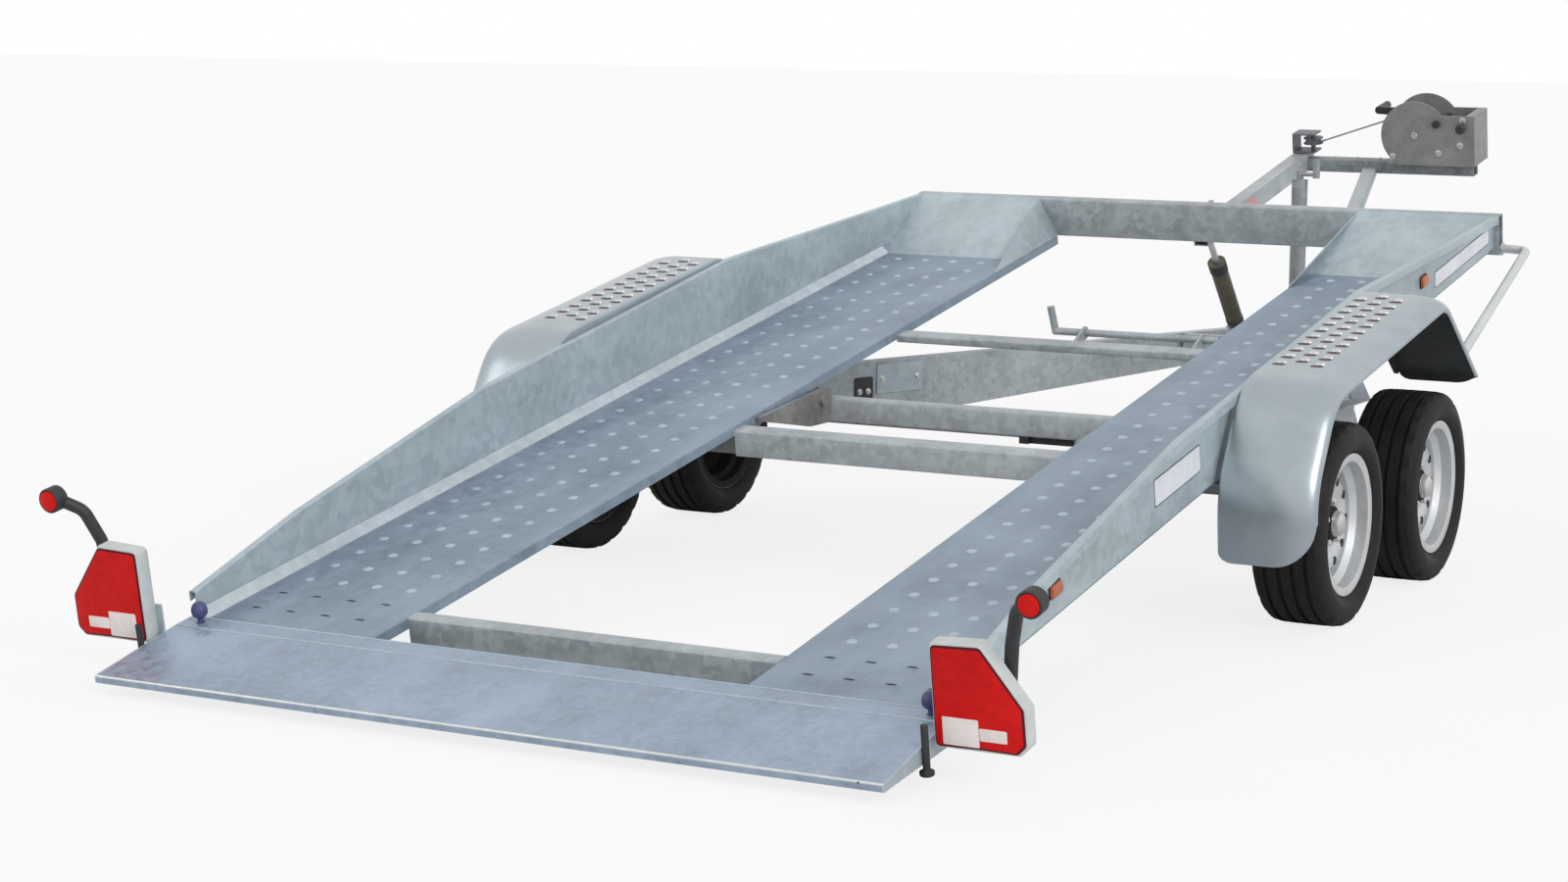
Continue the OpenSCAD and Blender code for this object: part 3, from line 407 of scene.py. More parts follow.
maroon = plain("lens_border", (0.07, 0.004, 0.010), (0.13, 0.008, 0.014), (0.3, 0.45),
               0.0, 40.0, 0.05, Specular_IOR_Level=0.2)
white = plain("lens_white", (0.74, 0.66, 0.62), (0.90, 0.84, 0.80), (0.2, 0.35), 0.0, 120.0, 0.1)
housing = plain("lamp_housing", (0.50, 0.52, 0.51), (0.66, 0.68, 0.67), (0.35, 0.55),
                0.0, 30.0, 0.1)
amber = plain("lens_amber", (0.34, 0.07, 0.02), (0.58, 0.16, 0.05), (0.2, 0.4), 0.0, 90.0, 0.1)
violet = plain("violet_knob", (0.035, 0.035, 0.12), (0.10, 0.10, 0.26), (0.3, 0.5), 0.0, 60.0, 0.1)
olive = plain("damper_olive", (0.045, 0.040, 0.024), (0.13, 0.115, 0.075), (0.32, 0.5),
              0.1, 30.0, 0.1)
label = plain("bare_label", (0.66, 0.68, 0.72), (0.84, 0.85, 0.88), (0.35, 0.5), 0.0, 50.0, 0.03)
pale_red = plain("pale_red_film", (0.55, 0.16, 0.17), (0.72, 0.34, 0.35), (0.35, 0.5),
                 0.0, 40.0, 0.03)
# Dark red for the ovals behind the mudguard pads: painted shadow of the pads.
pad_shadow = plain("pad_shadow", (0.045, 0.022, 0.022), (0.13, 0.06, 0.055), (0.6, 0.8),
                  0.1, 60.0, 0.1)
# Near black for the rims' inner side and the hub: painted shade inside the wheels.
rim_back_shade = plain("rim_back_shade", (0.008, 0.008, 0.008), (0.025, 0.024, 0.022), (0.6, 0.85),
                 0.1, 30.0, 0.2, Specular_IOR_Level=0.2)
pulley_steel = plain("pulley_steel", (0.06, 0.065, 0.075), (0.20, 0.21, 0.23), (0.35, 0.55),
                     0.4, 40.0, 0.2)
# Near black for holes, slots and gaps: painted shade.
gap_shade = plain("gap_shade", (0.010, 0.010, 0.012), (0.025, 0.026, 0.03), (0.7, 0.9),
                 0.0, 40.0, 0.05)

CAD_LOOKS = {
    "tongue": galv_beam, "winch_rope": dull,
    "end_plates": galv, "deck_lugs": dull, "lock_lever": galv_beam, "rope_pulley": pulley_steel,
    "winch_frame": winch_grey, "lamp_brackets": galv, "drawbar_legs": galv_beam,
    "hinge_brackets": dull, "drawbar_crossings": galv_beam, "swing_arms": dull,
    "brake_bracket": iron, "drawbar_nose": galv_beam, "coupling_head": iron,
    "jockey_stand": galv_rail, "jockey_wheel": black, "ram_cylinder": olive, "ram_rod": zinc,
    "winch_crank": iron,
}
# The solids that stay visible keep their shape and get these finishes
for name, look in CAD_LOOKS.items():
    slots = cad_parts[name].material_slots
    if not slots:
        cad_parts[name].data.materials.append(look)
    for s in slots:
        s.link = "OBJECT"
        s.material = look

# Tracks, each folded from one sheet, with a channel under it
tracks = Piece("tracks", "deck", "galvanised")
for side in (-1, 1):
    tracks.along(folded([(GAP_HALF, -0.028), (GAP_HALF, 0), (0.955, 0), (0.980, 0.025)],
                        [0.005, 0.012], SHEET), 0, DECK_LEN, galv_deck, side)
    tracks.along(folded([(0.660, -0.0032), (0.660, -0.028), (0.700, -0.028), (0.700, -0.0032)],
                        [0.005, 0.005], -SHEET), 0, DECK_LEN, galv, side)
    # A lighter strip along the fold at each wall's foot: painted highlight of the bend.
    tracks.loft([[(side * (0.9565 - g), v, 0.0015 + g) for g in (-0.0004, 0.0006)]
                 + [(side * (0.9785 - g), v, 0.0235 + g) for g in (0.0006, -0.0004)]
                 for v in (0.002, DECK_LEN - 0.33)], fold_highlight)
tracks.done("treads")

# Pressed studs on the tracks, with drain slots in the first rows
STUD_PITCH, STUD_START, STUD_ROWS, SLOT_ROWS = 0.1045, 0.105, 34, 2
STUD_COLUMNS = (0.590, 0.690, 0.790, 0.890)
SLOT_RIM = ((0.019, 0.009, -0.0008), (0.017, 0.007, 0.0016), (0.014, 0.0045, 0.0012))
SLOT_HOLE = ((0.0142, 0.0047, 0.0005), (0.013, 0.0036, 0.0018))
STUD = ((0.0140, 0.0140, -0.0008), (0.0125, 0.0125, 0.0012), (0.0092, 0.0092, 0.0027),
        (0.0045, 0.0045, 0.0034))
studs = Piece("track_studs", "deck", "galvanised")
for side in (-1, 1):
    for row in range(STUD_ROWS):
        v = STUD_START + STUD_PITCH * row
        for x in STUD_COLUMNS:
            if row < SLOT_ROWS:
                studs.boss(side, x, v, SLOT_RIM, galv_deck)
                # The slot's opening is a near-black oval: painted shade in the hole.
                studs.boss(side, x, v, SLOT_HOLE, gap_shade)
            else:
                studs.boss(side, x, v, STUD, worn)
studs.done()

# Side walls: places (v, w) of their top edge, with stations close to each bend
WALL_TOPS = [(0, 0.068), (0.43, 0.133), (1.26, 0.208), (2.62, 0.228), (3.45, 0.163), (3.95, 0.126)]
WALL_STATIONS = [0, 0.41, 0.43, 0.45, 0.85, 1.24, 1.26, 1.28, 1.7, 2.15, 2.60, 2.62, 2.64, 3.05,
                 3.43, 3.45, 3.47, 3.95]


def wall_height(v):
    """How high the wall's top edge is at v."""
    for (a, ha), (b, hb) in zip(WALL_TOPS, WALL_TOPS[1:]):
        if v <= b:
            return ha + (hb - ha) * (v - a) / (b - a)
    return WALL_TOPS[-1][1]


walls = Piece("side_walls_folded", "deck", "galvanised")
for side in (-1, 1):
    rings = []
    for v in WALL_STATIONS:
        h = wall_height(v)
        rings.append([(side * p[0], v, p[1]) for p in
                      folded([(0.980, 0.0248), (0.980, h), (1.0, h), (1.0, h - 0.025)],
                             [0.005, 0.005], SHEET)])
    walls.loft(rings, galv)
walls.done("side_walls")

member = Piece("front_member", "deck", "galvanised")
member.tube_across(DECK_LEN, MEMBER_FRONT, 0, MEMBER_H, 0.004, -DECK_HALF, DECK_HALF, galv_beam,
                   0.007)
member.done("front_cross_member")

RAMP_LINE = [(0, -0.051), (0, 0.006), (-0.060, 0.006), (-0.356, -0.012), (-0.356, -0.029)]
RAMP_SHEET = 0.004
RAMP_CREASES = ((-0.0045, 0.0055), (-0.064, 0.0052))
ramp = Piece("ramp_plate", "deck", "galvanised")
ramp.across(folded(RAMP_LINE, [0.005, 0.03, 0.006], -RAMP_SHEET, 5), -DECK_HALF + 0.0042,
            DECK_HALF - 0.0042, galv_ramp)
for side in (-1, 1):
    x0, x1 = sorted((side * (DECK_HALF - 0.0043), side * DECK_HALF))
    ramp.across(fillet(RAMP_LINE, [0.004, 0.03, 0.006]), x0, x1, galv)
for v, w in RAMP_CREASES:
    ramp.rod([(-0.994, v, w), (0, v, w), (0.994, v, w)], 0.0028, worn, 8, [0.01], 1)
ramp.rod([(-0.999, -0.3518, -0.0152), (0, -0.3518, -0.0152), (0.999, -0.3518, -0.0152)], 0.0040,
         bright, 10, [0.01], 1)
# A thin near-black sliver at the ramp's rear edge: painted shade in a gap.
notch = [Vector(p) for p in ((-0.3559, -0.028), (-0.3550, -0.028), (-0.3550, -0.0125),
                             (-0.3559, -0.0125))]
ramp.across(notch, 0.941, 0.945, gap_shade)
ramp.done("rear_ramp")

tube = Piece("rear_tube", "deck", "galvanised")
tube.tube_across(0.155, 0.200, -0.066, -0.0005, 0.004, -GAP_HALF, GAP_HALF, galv_beam)
for side in (-1, 1):
    x0, x1 = sorted((side * 0.390, side * 0.398))
    tube.across(fillet([(0.155, -0.066), (0.155, -0.091), (0.200, -0.091), (0.200, -0.066)],
                       [0.010, 0.010]), x0, x1, galv_beam)
tube.done("rear_cross_tube")

beams = Piece("deck_beams_rolled", "deck", "galvanised")
beams.tube_across(1.720, 1.780, -0.088, -0.013, 0.004, -GAP_HALF, GAP_HALF, galv_beam)
beams.tube_across(2.730, 2.790, -0.037, -0.013, 0.003, -GAP_HALF, GAP_HALF, galv_beam, 0.005)
EAR_AT, BAR_AT, BAR_HOLE = (2.800, -0.024), Vector((2.870, -0.012)), 0.0113
for x in (0.060, 0.430):
    outer = link(EAR_AT, 0.010, BAR_AT, 0.019)
    hole = [BAR_AT + (p - BAR_AT).normalized() * BAR_HOLE for p in outer]
    beams.hollow([[(xx, p[0], p[1]) for p in outer] for xx in (x, x + 0.008)],
                 [[(xx, p[0], p[1]) for p in hole] for xx in (x, x + 0.008)], galv_beam)
beams.done("deck_beams")

# Mudguards: one pressed sheet each side, its section swept over the wheels
GUARD_IN, GUARD_FLAT, GUARD_OUT, GUARD_TOP = 1.000, 1.160, 1.245, 0.238
GUARD_FLANGE, GUARD_DROP, GUARD_SHEET, END_ZONE = 0.036, 0.036, 0.003, 0.16
guard_line = fillet([(1.472, -0.168), (1.484, 0.020), (1.670, GUARD_TOP), (2.620, GUARD_TOP),
                     (2.935, -0.077), (2.945, -0.112)], [0.26, 0.22, 0.15, 0.06], 10)
guard_steps = [0.0]
for p, q in zip(guard_line, guard_line[1:]):
    guard_steps.append(guard_steps[-1] + (q - p).length)
GUARD_LENGTH = guard_steps[-1]
END_STEPS = 8
stations = [END_ZONE * k / END_STEPS for k in range(END_STEPS)]
stations += [t for t in guard_steps if END_ZONE <= t <= GUARD_LENGTH - END_ZONE]
stations += [GUARD_LENGTH - END_ZONE * k / END_STEPS for k in range(END_STEPS, -1, -1)]
guard_section = fillet([(GUARD_IN, GUARD_FLANGE), (GUARD_IN, 0), (1.120, 0)], [0.008], 5)
guard_section += [Vector((GUARD_FLAT - 0.02 + 0.105 * math.sin(t),
                          GUARD_DROP * (1 - math.cos(t))))
                  for t in (math.pi / 2 * k / 10 for k in range(11))]
guard_section.append(Vector((GUARD_OUT, 0.043)))
flat = [k for k, p in enumerate(guard_section) if p[0] < 1.02][-1]
guard_section[flat + 1:flat + 1] = [Vector((GUARD_IN + 0.014 * k, 0)) for k in range(1, 9)]


def guard_at(s):
    """Point and unit direction of the guard's line at arc length s."""
    for i in range(len(guard_steps) - 1):
        if s <= guard_steps[i + 1] or i == len(guard_steps) - 2:
            t = (s - guard_steps[i]) / (guard_steps[i + 1] - guard_steps[i])
            p = guard_line[i].lerp(guard_line[i + 1], t)
            d = (guard_line[i + 1] - guard_line[i]).normalized()
            if t < 0.5 and i > 0:
                e = (guard_line[i] - guard_line[i - 1]).normalized()
                d = (e * (0.5 - t) + d * (0.5 + t)).normalized()
            elif t > 0.5 and i + 2 < len(guard_line):
                e = (guard_line[i + 2] - guard_line[i + 1]).normalized()
                d = (e * (t - 0.5) + d * (1.5 - t)).normalized()
            return p, d


def corner_rise(x, r_out, r_in):
    """How far the sheet's end draws in at x, to round both of its corners."""
    r, past = (r_out, x - GUARD_OUT + r_out) if x > 1.11 else (r_in, GUARD_IN + r_in - x)
    return r - math.sqrt(max(r * r - past * past, 0)) if past > 0 else 0


def guard_surface(i, x, depth):
    """Where the section's point goes at station i; the sheet's corners are rounded."""
    s = stations[i]
    if s < END_ZONE:
        s += corner_rise(x, 0.105, 0.035) * (1 - s / END_ZONE)
    elif s > GUARD_LENGTH - END_ZONE:
        s -= corner_rise(x, 0.090, 0.030) * (1 - (GUARD_LENGTH - s) / END_ZONE)
    if x < GUARD_IN + 0.010:
        depth = min(depth, 0.004 + 0.5 * (GUARD_LENGTH - s))
    p, t = guard_at(s)
    return (p[0] + t[1] * depth, p[1] - t[0] * depth)


guards = Piece("mudguard_sheets", "deck", "galvanised")
for side in (-1, 1):
    n, m = len(guard_section), len(stations)
    outer_rings, inner_rings = [], []
    for i in range(m):
        outer_rings.append([(side * x, *guard_surface(i, x, d)) for x, d in guard_section])
        inner_rings.append([(side * min(max(x, GUARD_IN + GUARD_SHEET), GUARD_OUT - GUARD_SHEET),
                             *guard_surface(i, x, d + GUARD_SHEET)) for x, d in guard_section])
    out_faces, in_faces = [], []
    for i in range(m - 1):
        for j in range(n - 1):
            a = i * n + j
            out_faces.append((a, a + 1, a + 1 + n, a + n))
            b = m * n + a
            in_faces.append((b, b + 1, b + 1 + n, b + n))
    for i in range(m - 1):
        for j in (0, n - 1):
            a = i * n + j
            out_faces.append((a, a + n, m * n + a + n, m * n + a))
    for i in (0, m - 1):
        for j in range(n - 1):
            a = i * n + j
            out_faces.append((a, a + 1, m * n + a + 1, m * n + a))
    k = len(guards.points)
    guards.add([p for r in outer_rings + inner_rings for p in r], out_faces, galv_guard)
    # The guard's inner faces get the near-black finish: painted shade under the guard.
    if shade_in not in guards.mats:
        guards.mats.append(shade_in)
    guards.faces += [[k + i for i in f] for f in in_faces]
    guards.marks += [guards.mats.index(shade_in)] * len(in_faces)
guards.done("mudguards", smooth=40)

# Pads on the mudguard tops: the pale pads carry a painted highlight, and the dark red ovals behind
# them are a painted shadow.
PAD_ROWS, PAD_COLUMNS, PAD_PITCH = 11, (1.040, 1.090, 1.140), 0.064
PAD = ((0.015, 0.011, -0.001), (0.0135, 0.0095, 0.0018), (0.009, 0.006, 0.003))
PAD_SHADE = ((0.0185, 0.0085, -0.001), (0.0175, 0.0075, 0.0007))
pads = Piece("mudguard_pads", "deck", "galvanised")
for side in (-1, 1):
    for col, x in enumerate(PAD_COLUMNS):
        for row in range(PAD_ROWS):
            v = 1.870 + PAD_PITCH * row + (PAD_PITCH / 2 if col % 2 else 0)
            pads.boss(side, x, v, PAD, bright, 12, GUARD_TOP)
            pads.boss(side, x - 0.002, v - 0.022, PAD_SHADE, pad_shadow, 12, GUARD_TOP)
pads.done()

stays = Piece("mudguard_stay_rods", "deck", "bright_steel")
for side in (-1, 1):
    root = (side * 1.0, 3.975, 0.018)
    stays.rod([root, (side * 1.080, 3.975, 0.014), (side * 1.209, 2.8658, 0.0)], 0.0138, bright,
              16, [0.03], 6)
    stays.turned(root, (side, 0, 0), [(0.0002, 0.022), (0.006, 0.022), (0.007, 0.018)], zinc, 20)
stays.done("mudguard_stays")

# Winch rail and its brace; the tongue is the solid itself
rail = Piece("winch_rail_box", "deck", "galvanised")
rail.tube_across(RAIL_V, RAIL_V + 0.050, RAIL_W, RAIL_TOP, 0.004, 0.0252, 0.620, galv_rail, 0.005)
for x in (0.12, 0.20, 0.28):
    rail.bolt((x, RAIL_MID, RAIL_TOP), (0, 0, 1), 0.006)
rail.done("winch_rail")

brace = Piece("winch_brace_box", "deck", "galvanised")
brace_rings, brace_inner = [], []
for x, v in (Vector((0.482, MEMBER_FRONT)), Vector((0.250, RAIL_V))):
    brace_rings.append([(x + q[0], v, q[1]) for q in round_rect(-0.025, 0.025, 0, 0.030, 0.005)])
    brace_inner.append([(x + q[0], v, q[1])
                        for q in round_rect(-0.021, 0.021, 0.004, 0.026, 0.003)])
brace.hollow(brace_rings, brace_inner, galv_beam)
brace.done("winch_brace")

# Bare films where the walls and the tongue carry marks
WALL_FACE = 0.983
film = Piece("bare_films", "deck", "galvanised")
for box in ((1.130, 1.430, 0.080, 0.150), (3.340, 3.900, 0.050, 0.100)):
    for side in (-1, 1):
        film.upright(side, box, 0.006, ((WALL_FACE - 0.0005, 0), (WALL_FACE + 0.0004, 0)), iron)
        film.upright(side, box, 0.005, ((WALL_FACE, 0.003), (WALL_FACE + 0.0008, 0.003)), label)
TONGUE_FILM = (4.10, 4.45)
low, high = [TONGUE_LOW + TONGUE_RISE * (v - MEMBER_FRONT) / TONGUE_LEN for v in TONGUE_FILM]
for side in (-1, 1):
    corners = [(TONGUE_FILM[0], low + 0.014), (TONGUE_FILM[1], high + 0.014),
               (TONGUE_FILM[1], high + 0.050), (TONGUE_FILM[0], low + 0.050)]
    film.loft([[(side * x, v, w) for v, w in corners] for x in (0.0245, 0.0256)], pale_red)
film.done()

# Winch: drum with the rope's turns, shafts and bolts
winch = Piece("winch_drum_wound", "winch_drum", "dull_steel")
winch.turned((DRUM_X, 0, DRUM_W), (0, 1, 0), [
    (CHEEK_NEAR - 0.0038, 0.011), (CHEEK_NEAR - 0.0030, 0.012), (CHEEK_FAR + 0.006, 0.012),
    (CHEEK_FAR + 0.0078, 0.010)], zinc, 24)
ROPE_TURNS, TURN_STEPS, DRUM_R, ROPE_R, WIND_HALF = 22, 8, 0.0629, 0.0029, 0.0672
coil = []
v0, v1 = RAIL_MID - WIND_HALF, RAIL_MID + WIND_HALF
for i in range(ROPE_TURNS * TURN_STEPS + 1):
    v = v0 + (v1 - v0) * i / (ROPE_TURNS * TURN_STEPS)
    coil.append((v, DRUM_R + ROPE_R * abs(math.sin(math.pi * i / TURN_STEPS))))
winch.turned((DRUM_X, 0, DRUM_W), (0, 1, 0), coil, dull, 48)
winch.done("winch_drum")

fixings = Piece("winch_fixings", "deck", "dull_steel")
for x, w in ((0.513, 0.100), (0.590, 0.128), (0.600, 0.215), (0.352, 0.085)):
    fixings.bolt((x, CHEEK_NEAR, w), (0, -1, 0), 0.009, zinc)
fixings.turned((0.597, CHEEK_NEAR, 0.190), (0, -1, 0), [(0, 0.009), (0.010, 0.009), (0.012, 0.015),
               (0.024, 0.017), (0.030, 0.012)], black, 20)
fixings.done()

# Rear lamps
LAMP_FAR = -0.105
lamps = Piece("rear_lamp_units", "deck", "lamp_red")
lamp_shape = fillet([(1.117, -0.012), (1.202, -0.012), (1.222, 0.008), (1.222, 0.090),
                     (1.126, 0.220), (1.012, 0.214), (1.012, -0.012), (1.117, -0.012)],
                    [0.010, 0.015, 0.020, 0.015, 0.012, 0.012], 5)[:-1]
lamp_mid = Vector((1.110, 0.095))
# Pale windows in the lens, as (x0, x1, w0, w1)
WHITE_WINDOWS = ((1.036, 1.116, 0.000, 0.060), (1.117, 1.178, 0.016, 0.043))


def lamp_ring(side, inset, v):
    """The lamp's outline at v, drawn in towards its middle."""
    out = []
    for p in lamp_shape:
        d = p - lamp_mid
        q = lamp_mid + d * (1 - inset / d.length)
        out.append((side * q[0], v, q[1]))
    return out


LAMP_SHELLS = (
    (housing, ((0.006, LAMP_FAR), (0.0, -0.112), (0.0, -0.143), (0.003, -0.1475),
               (0.006, -0.1485))),
    (maroon, ((0.0065, -0.146), (0.0068, -0.1502), (0.011, -0.1514))),
    (red, ((0.0115, -0.148), (0.012, -0.1524), (0.018, -0.1538), (0.040, -0.1544))),
)
for side in (-1, 1):
    for mat, layers in LAMP_SHELLS:
        lamps.loft([lamp_ring(side, inset, v) for inset, v in layers], mat)
    for x0, x1, w0, w1 in WHITE_WINDOWS:
        lamps.loft([[(side * p[0], v, p[1])
                     for p in round_rect(x0 + g, x1 - g, w0 + g, w1 - g, 0.003)]
                    for g, v in ((0, -0.152), (0, -0.1546), (0.001, -0.155))], white)
lamps.done("rear_lamps")

arms = Piece("marker_arm_rods", "deck", "black_plastic")
ARM_LINE = [(1.150, -0.084, 0.040), (1.168, -0.084, 0.205), (1.192, -0.104, 0.285),
            (1.238, -0.135, 0.318)]
SLEEVE_LINE = [(1.150, -0.084, 0.000), (1.150, -0.084, 0.020), (1.150, -0.084, 0.042)]
HEAD = [(-0.0170, 0.0235), (-0.0195, 0.0265), (-0.016, 0.0298), (0.016, 0.0298),
        (0.0195, 0.0265), (0.0170, 0.0235)]
LENS = [(0.0160, 0.0240), (0.0195, 0.0238), (0.0218, 0.018), (0.0224, 0.008)]
for side in (-1, 1):
    arms.rod([(side * x, v, w) for x, v, w in ARM_LINE], 0.0148, black, 18, [0.05, 0.05], 6)
    head = (side * 1.244, -0.1425, 0.320)
    arms.turned(head, (0, 1, 0), HEAD, black, 32)
    for end, lens in ((-1, red), (1, white)):
        arms.turned(head, (0, end, 0), LENS, lens, 28)
    arms.rod([(side * x, v, w) for x, v, w in SLEEVE_LINE], 0.0195, black, 18, [0.01], 2)
arms.done("marker_arms")

markers = Piece("side_marker_lenses", "deck", "amber")
for side in (-1, 1):
    for box in ((0.505, 0.565, 0.068, 0.104), (3.195, 3.255, 0.084, 0.120)):
        markers.upright(side, box, 0.006, ((0.9828, 0), (0.987, 0)), black)
        markers.upright(side, box, 0.005, ((0.986, 0.002), (0.992, 0.003), (0.9945, 0.006),
                                           (0.995, 0.010)), amber)
markers.done("side_markers")

# Knobs and prop rods at the rear corners
KNOB = [(0.0015, 0.012), (0.006, 0.012), (0.008, 0.0075), (0.018, 0.0075), (0.021, 0.014),
        (0.027, 0.0188), (0.038, 0.0199), (0.049, 0.0165), (0.056, 0.0085), (0.0575, 0.003)]
PROP_FOOT = [(0.0002, 0.014), (0.002, 0.0158), (0.009, 0.0158), (0.013, 0.009), (0.016, 0.0065)]
PROP_X, PROP_V = 1.0075, -0.180
knobs = Piece("corner_knob_units", "deck", "violet_knob")
for side in (-1, 1):
    knobs.turned((side * 0.950, -0.030, 0), (0, 0, 1), KNOB, violet, 28,
                 wave=lambda i, j: -0.0009 if j % 4 == 0 and 4 < i < 9 else 0)
    knobs.rod([(side * PROP_X, PROP_V, w) for w in (-0.058, 0.0, 0.047)], 0.0080, black, 14,
              [0.01], 2)
    knobs.turned((side * PROP_X, PROP_V, -0.062), (0, 0, 1), PROP_FOOT, black, 24)
knobs.done("corner_knobs")

# Collars on the ram, at its mouth and its foot
COLLARS = (
    [(0.286, 0.0292), (0.288, 0.0312), (0.326, 0.0312), (0.3278, 0.029), (0.3278, 0.0118),
     (0.286, 0.0118)],
    [(0.040, 0.0291), (0.042, 0.0302), (0.052, 0.0302), (0.054, 0.0291), (0.054, 0.0280),
     (0.040, 0.0280)],
)
RAM_FOOT, RAM_LEAN = (-0.070, 2.235, 0.470), math.radians(132.25)
collar = Piece("ram_collar", "ram_cylinder", "damper_olive", ground)
for rings in COLLARS:
    collar.turned(RAM_FOOT, (0, math.cos(RAM_LEAN), math.sin(RAM_LEAN)), rings, black, 36, True)
collar.done()

# Chassis: round-cornered beam and axles
beam = Piece("pivot_beam_box", "chassis", "galvanised", ground)
beam.tube_across(-0.020, 0.040, 0.370, 0.440, 0.004, -0.825, 0.825, galv_beam, 0.007)
for x in (-0.50, 0.50):
    beam.bolt((x, -0.020, 0.410), (0, -1, 0), 0.012)
beam.done("pivot_beam")

# Plates and bolts on the drawbar legs' inner faces
LEG_FROM, LEG_TO = (0.850, 0.786), (0.062, 2.840)
LEG_DIR = Vector((LEG_TO[0] - LEG_FROM[0], LEG_TO[1] - LEG_FROM[1])).normalized()


def leg_face(side, s, z, out):
    """A point s along the leg, at height z, standing out from its inner face."""
    p = Vector(LEG_FROM) + LEG_DIR * s - Vector((LEG_DIR[1], -LEG_DIR[0])) * (0.025 + out)
    return (side * p[0], p[1], z)


# As (start, end, low, high, thickness, finish)
LEG_PLATES = ((0.120, 0.315, 0.335, 0.430, 0.005, galv), (0.025, 0.105, 0.300, 0.392, 0.003, iron),
              (1.300, 1.420, 0.350, 0.425, 0.004, galv_beam))
fittings = Piece("leg_fittings", "chassis", "galvanised", ground)
for side in (-1, 1):
    for s0, s1, z0, z1, thick, mat in LEG_PLATES:
        fittings.loft([[leg_face(side, a, b, out) for a, b in
                        round_rect(s0 + g, s1 - g, z0 + g, z1 - g, 0.008)]
                       for out, g in ((-0.0005, 0), (thick - 0.001, 0), (thick, 0.001))], mat)
        for s_at in (s0 + 0.022, s1 - 0.022):
            fittings.bolt(leg_face(side, s_at, (z0 + z1) / 2, thick),
                          (-side * LEG_DIR[1], LEG_DIR[0], 0), 0.008)
fittings.done()

AXLES, WHEEL_X, WHEEL_R = (-0.372, 0.372), 1.120, 0.2625
ARM_REACH, AXLE_HALF = 0.150, 0.028
axles = Piece("axle_tube_boxes", "chassis", "dull_steel", ground)
for y in AXLES:
    mid = y + ARM_REACH
    axles.tube_across(mid - AXLE_HALF, mid + AXLE_HALF, 0.289, 0.345, 0.006, -0.9775, 0.9775, dull,
                      0.009)
axles.done("axle_tubes")

# Wheels
TYRE_HALF, SEAT, RIM_R, BEAD = 0.0975, 0.1655, 0.1825, 0.077


def tyre_profile():
    """The tyre's section: side wall, crown with four grooves, side wall."""
    side_wall = [(BEAD, SEAT + 0.0008), (BEAD + 0.0004, RIM_R + 0.001),
                 (BEAD + 0.006, RIM_R + 0.004), (BEAD + 0.013, RIM_R + 0.012),
                 (TYRE_HALF - 0.003, RIM_R + 0.020),
                 (TYRE_HALF - 0.0002, RIM_R + 0.028), (TYRE_HALF, WHEEL_R - 0.044),
                 (TYRE_HALF - 0.0016, WHEEL_R - 0.034), (TYRE_HALF - 0.004, WHEEL_R - 0.022),
                 (TYRE_HALF - 0.010, WHEEL_R - 0.010), (TYRE_HALF - 0.018, WHEEL_R - 0.0038)]
    crown = []
    for c in (0.054, 0.018, -0.018, -0.054):
        top, floor_r = WHEEL_R - 0.0002 - abs(c) * 0.012, WHEEL_R - 0.0075
        crown += [(c + 0.006, top), (c + 0.0045, floor_r), (c - 0.0045, floor_r), (c - 0.006, top)]
    return side_wall + crown + [(-h, r) for h, r in side_wall[::-1]]


WELL = SEAT - 0.016
BARREL = [(BEAD + 0.006, RIM_R), (BEAD + 0.0015, RIM_R), (BEAD + 0.0005, SEAT), (0.047, SEAT),
          (0.032, WELL), (-0.042, WELL), (-0.052, SEAT), (-BEAD - 0.0005, SEAT),
          (-BEAD - 0.0015, RIM_R), (-BEAD - 0.006, RIM_R), (-BEAD - 0.006, RIM_R - 0.004),
          (-BEAD - 0.002, SEAT - 0.004), (-0.054, SEAT - 0.004), (-0.044, WELL - 0.004),
          (0.034, WELL - 0.004), (0.049, SEAT - 0.004), (BEAD + 0.002, SEAT - 0.004),
          (BEAD + 0.006, RIM_R - 0.004)]
# The rim's inner face and the back of its disc, drawn near black: painted shade.
SHADED_BACK = [(-BEAD - 0.0062, RIM_R - 0.0005), (-BEAD - 0.0062, RIM_R - 0.0042),
              (-BEAD - 0.0022, SEAT - 0.0046), (-0.0542, SEAT - 0.0046), (-0.0442, WELL - 0.0046),
              (-0.012, WELL - 0.0046), (-0.002, WELL - 0.006), (0.006, 0.132), (0.021, 0.1215),
              (0.028, 0.111), (0.029, 0.101), (0.020, 0.076), (0.020, 0.047), (0.0212, 0.047),
              (0.0212, 0.0765), (0.0295, 0.101), (0.0288, 0.1113), (0.0215, 0.1220),
              (0.0068, 0.1328), (-0.0012, WELL - 0.0052), (-0.0118, WELL - 0.0041),
              (-0.0440, WELL - 0.0041), (-0.0540, SEAT - 0.0041), (-BEAD - 0.0020, SEAT - 0.0041)]
DISC = [(0.006, WELL - 0.003), (0.014, 0.136), (0.028, 0.125), (0.036, 0.113), (0.037, 0.100),
        (0.030, 0.084), (0.027, 0.074), (0.027, 0.044), (0.022, 0.044), (0.022, 0.076),
        (0.025, 0.088), (0.031, 0.101), (0.030, 0.111), (0.023, 0.121), (0.008, 0.132),
        (-0.001, WELL - 0.003)]
HUB = [(-0.070, 0.0215), (-0.069, 0.045), (0.040, 0.045), (0.046, 0.034), (0.046, 0.0205),
       (-0.069, 0.0205)]
HUB_CAP = [(0.044, 0.033), (0.050, 0.0335), (0.062, 0.030), (0.068, 0.022), (0.070, 0.010)]
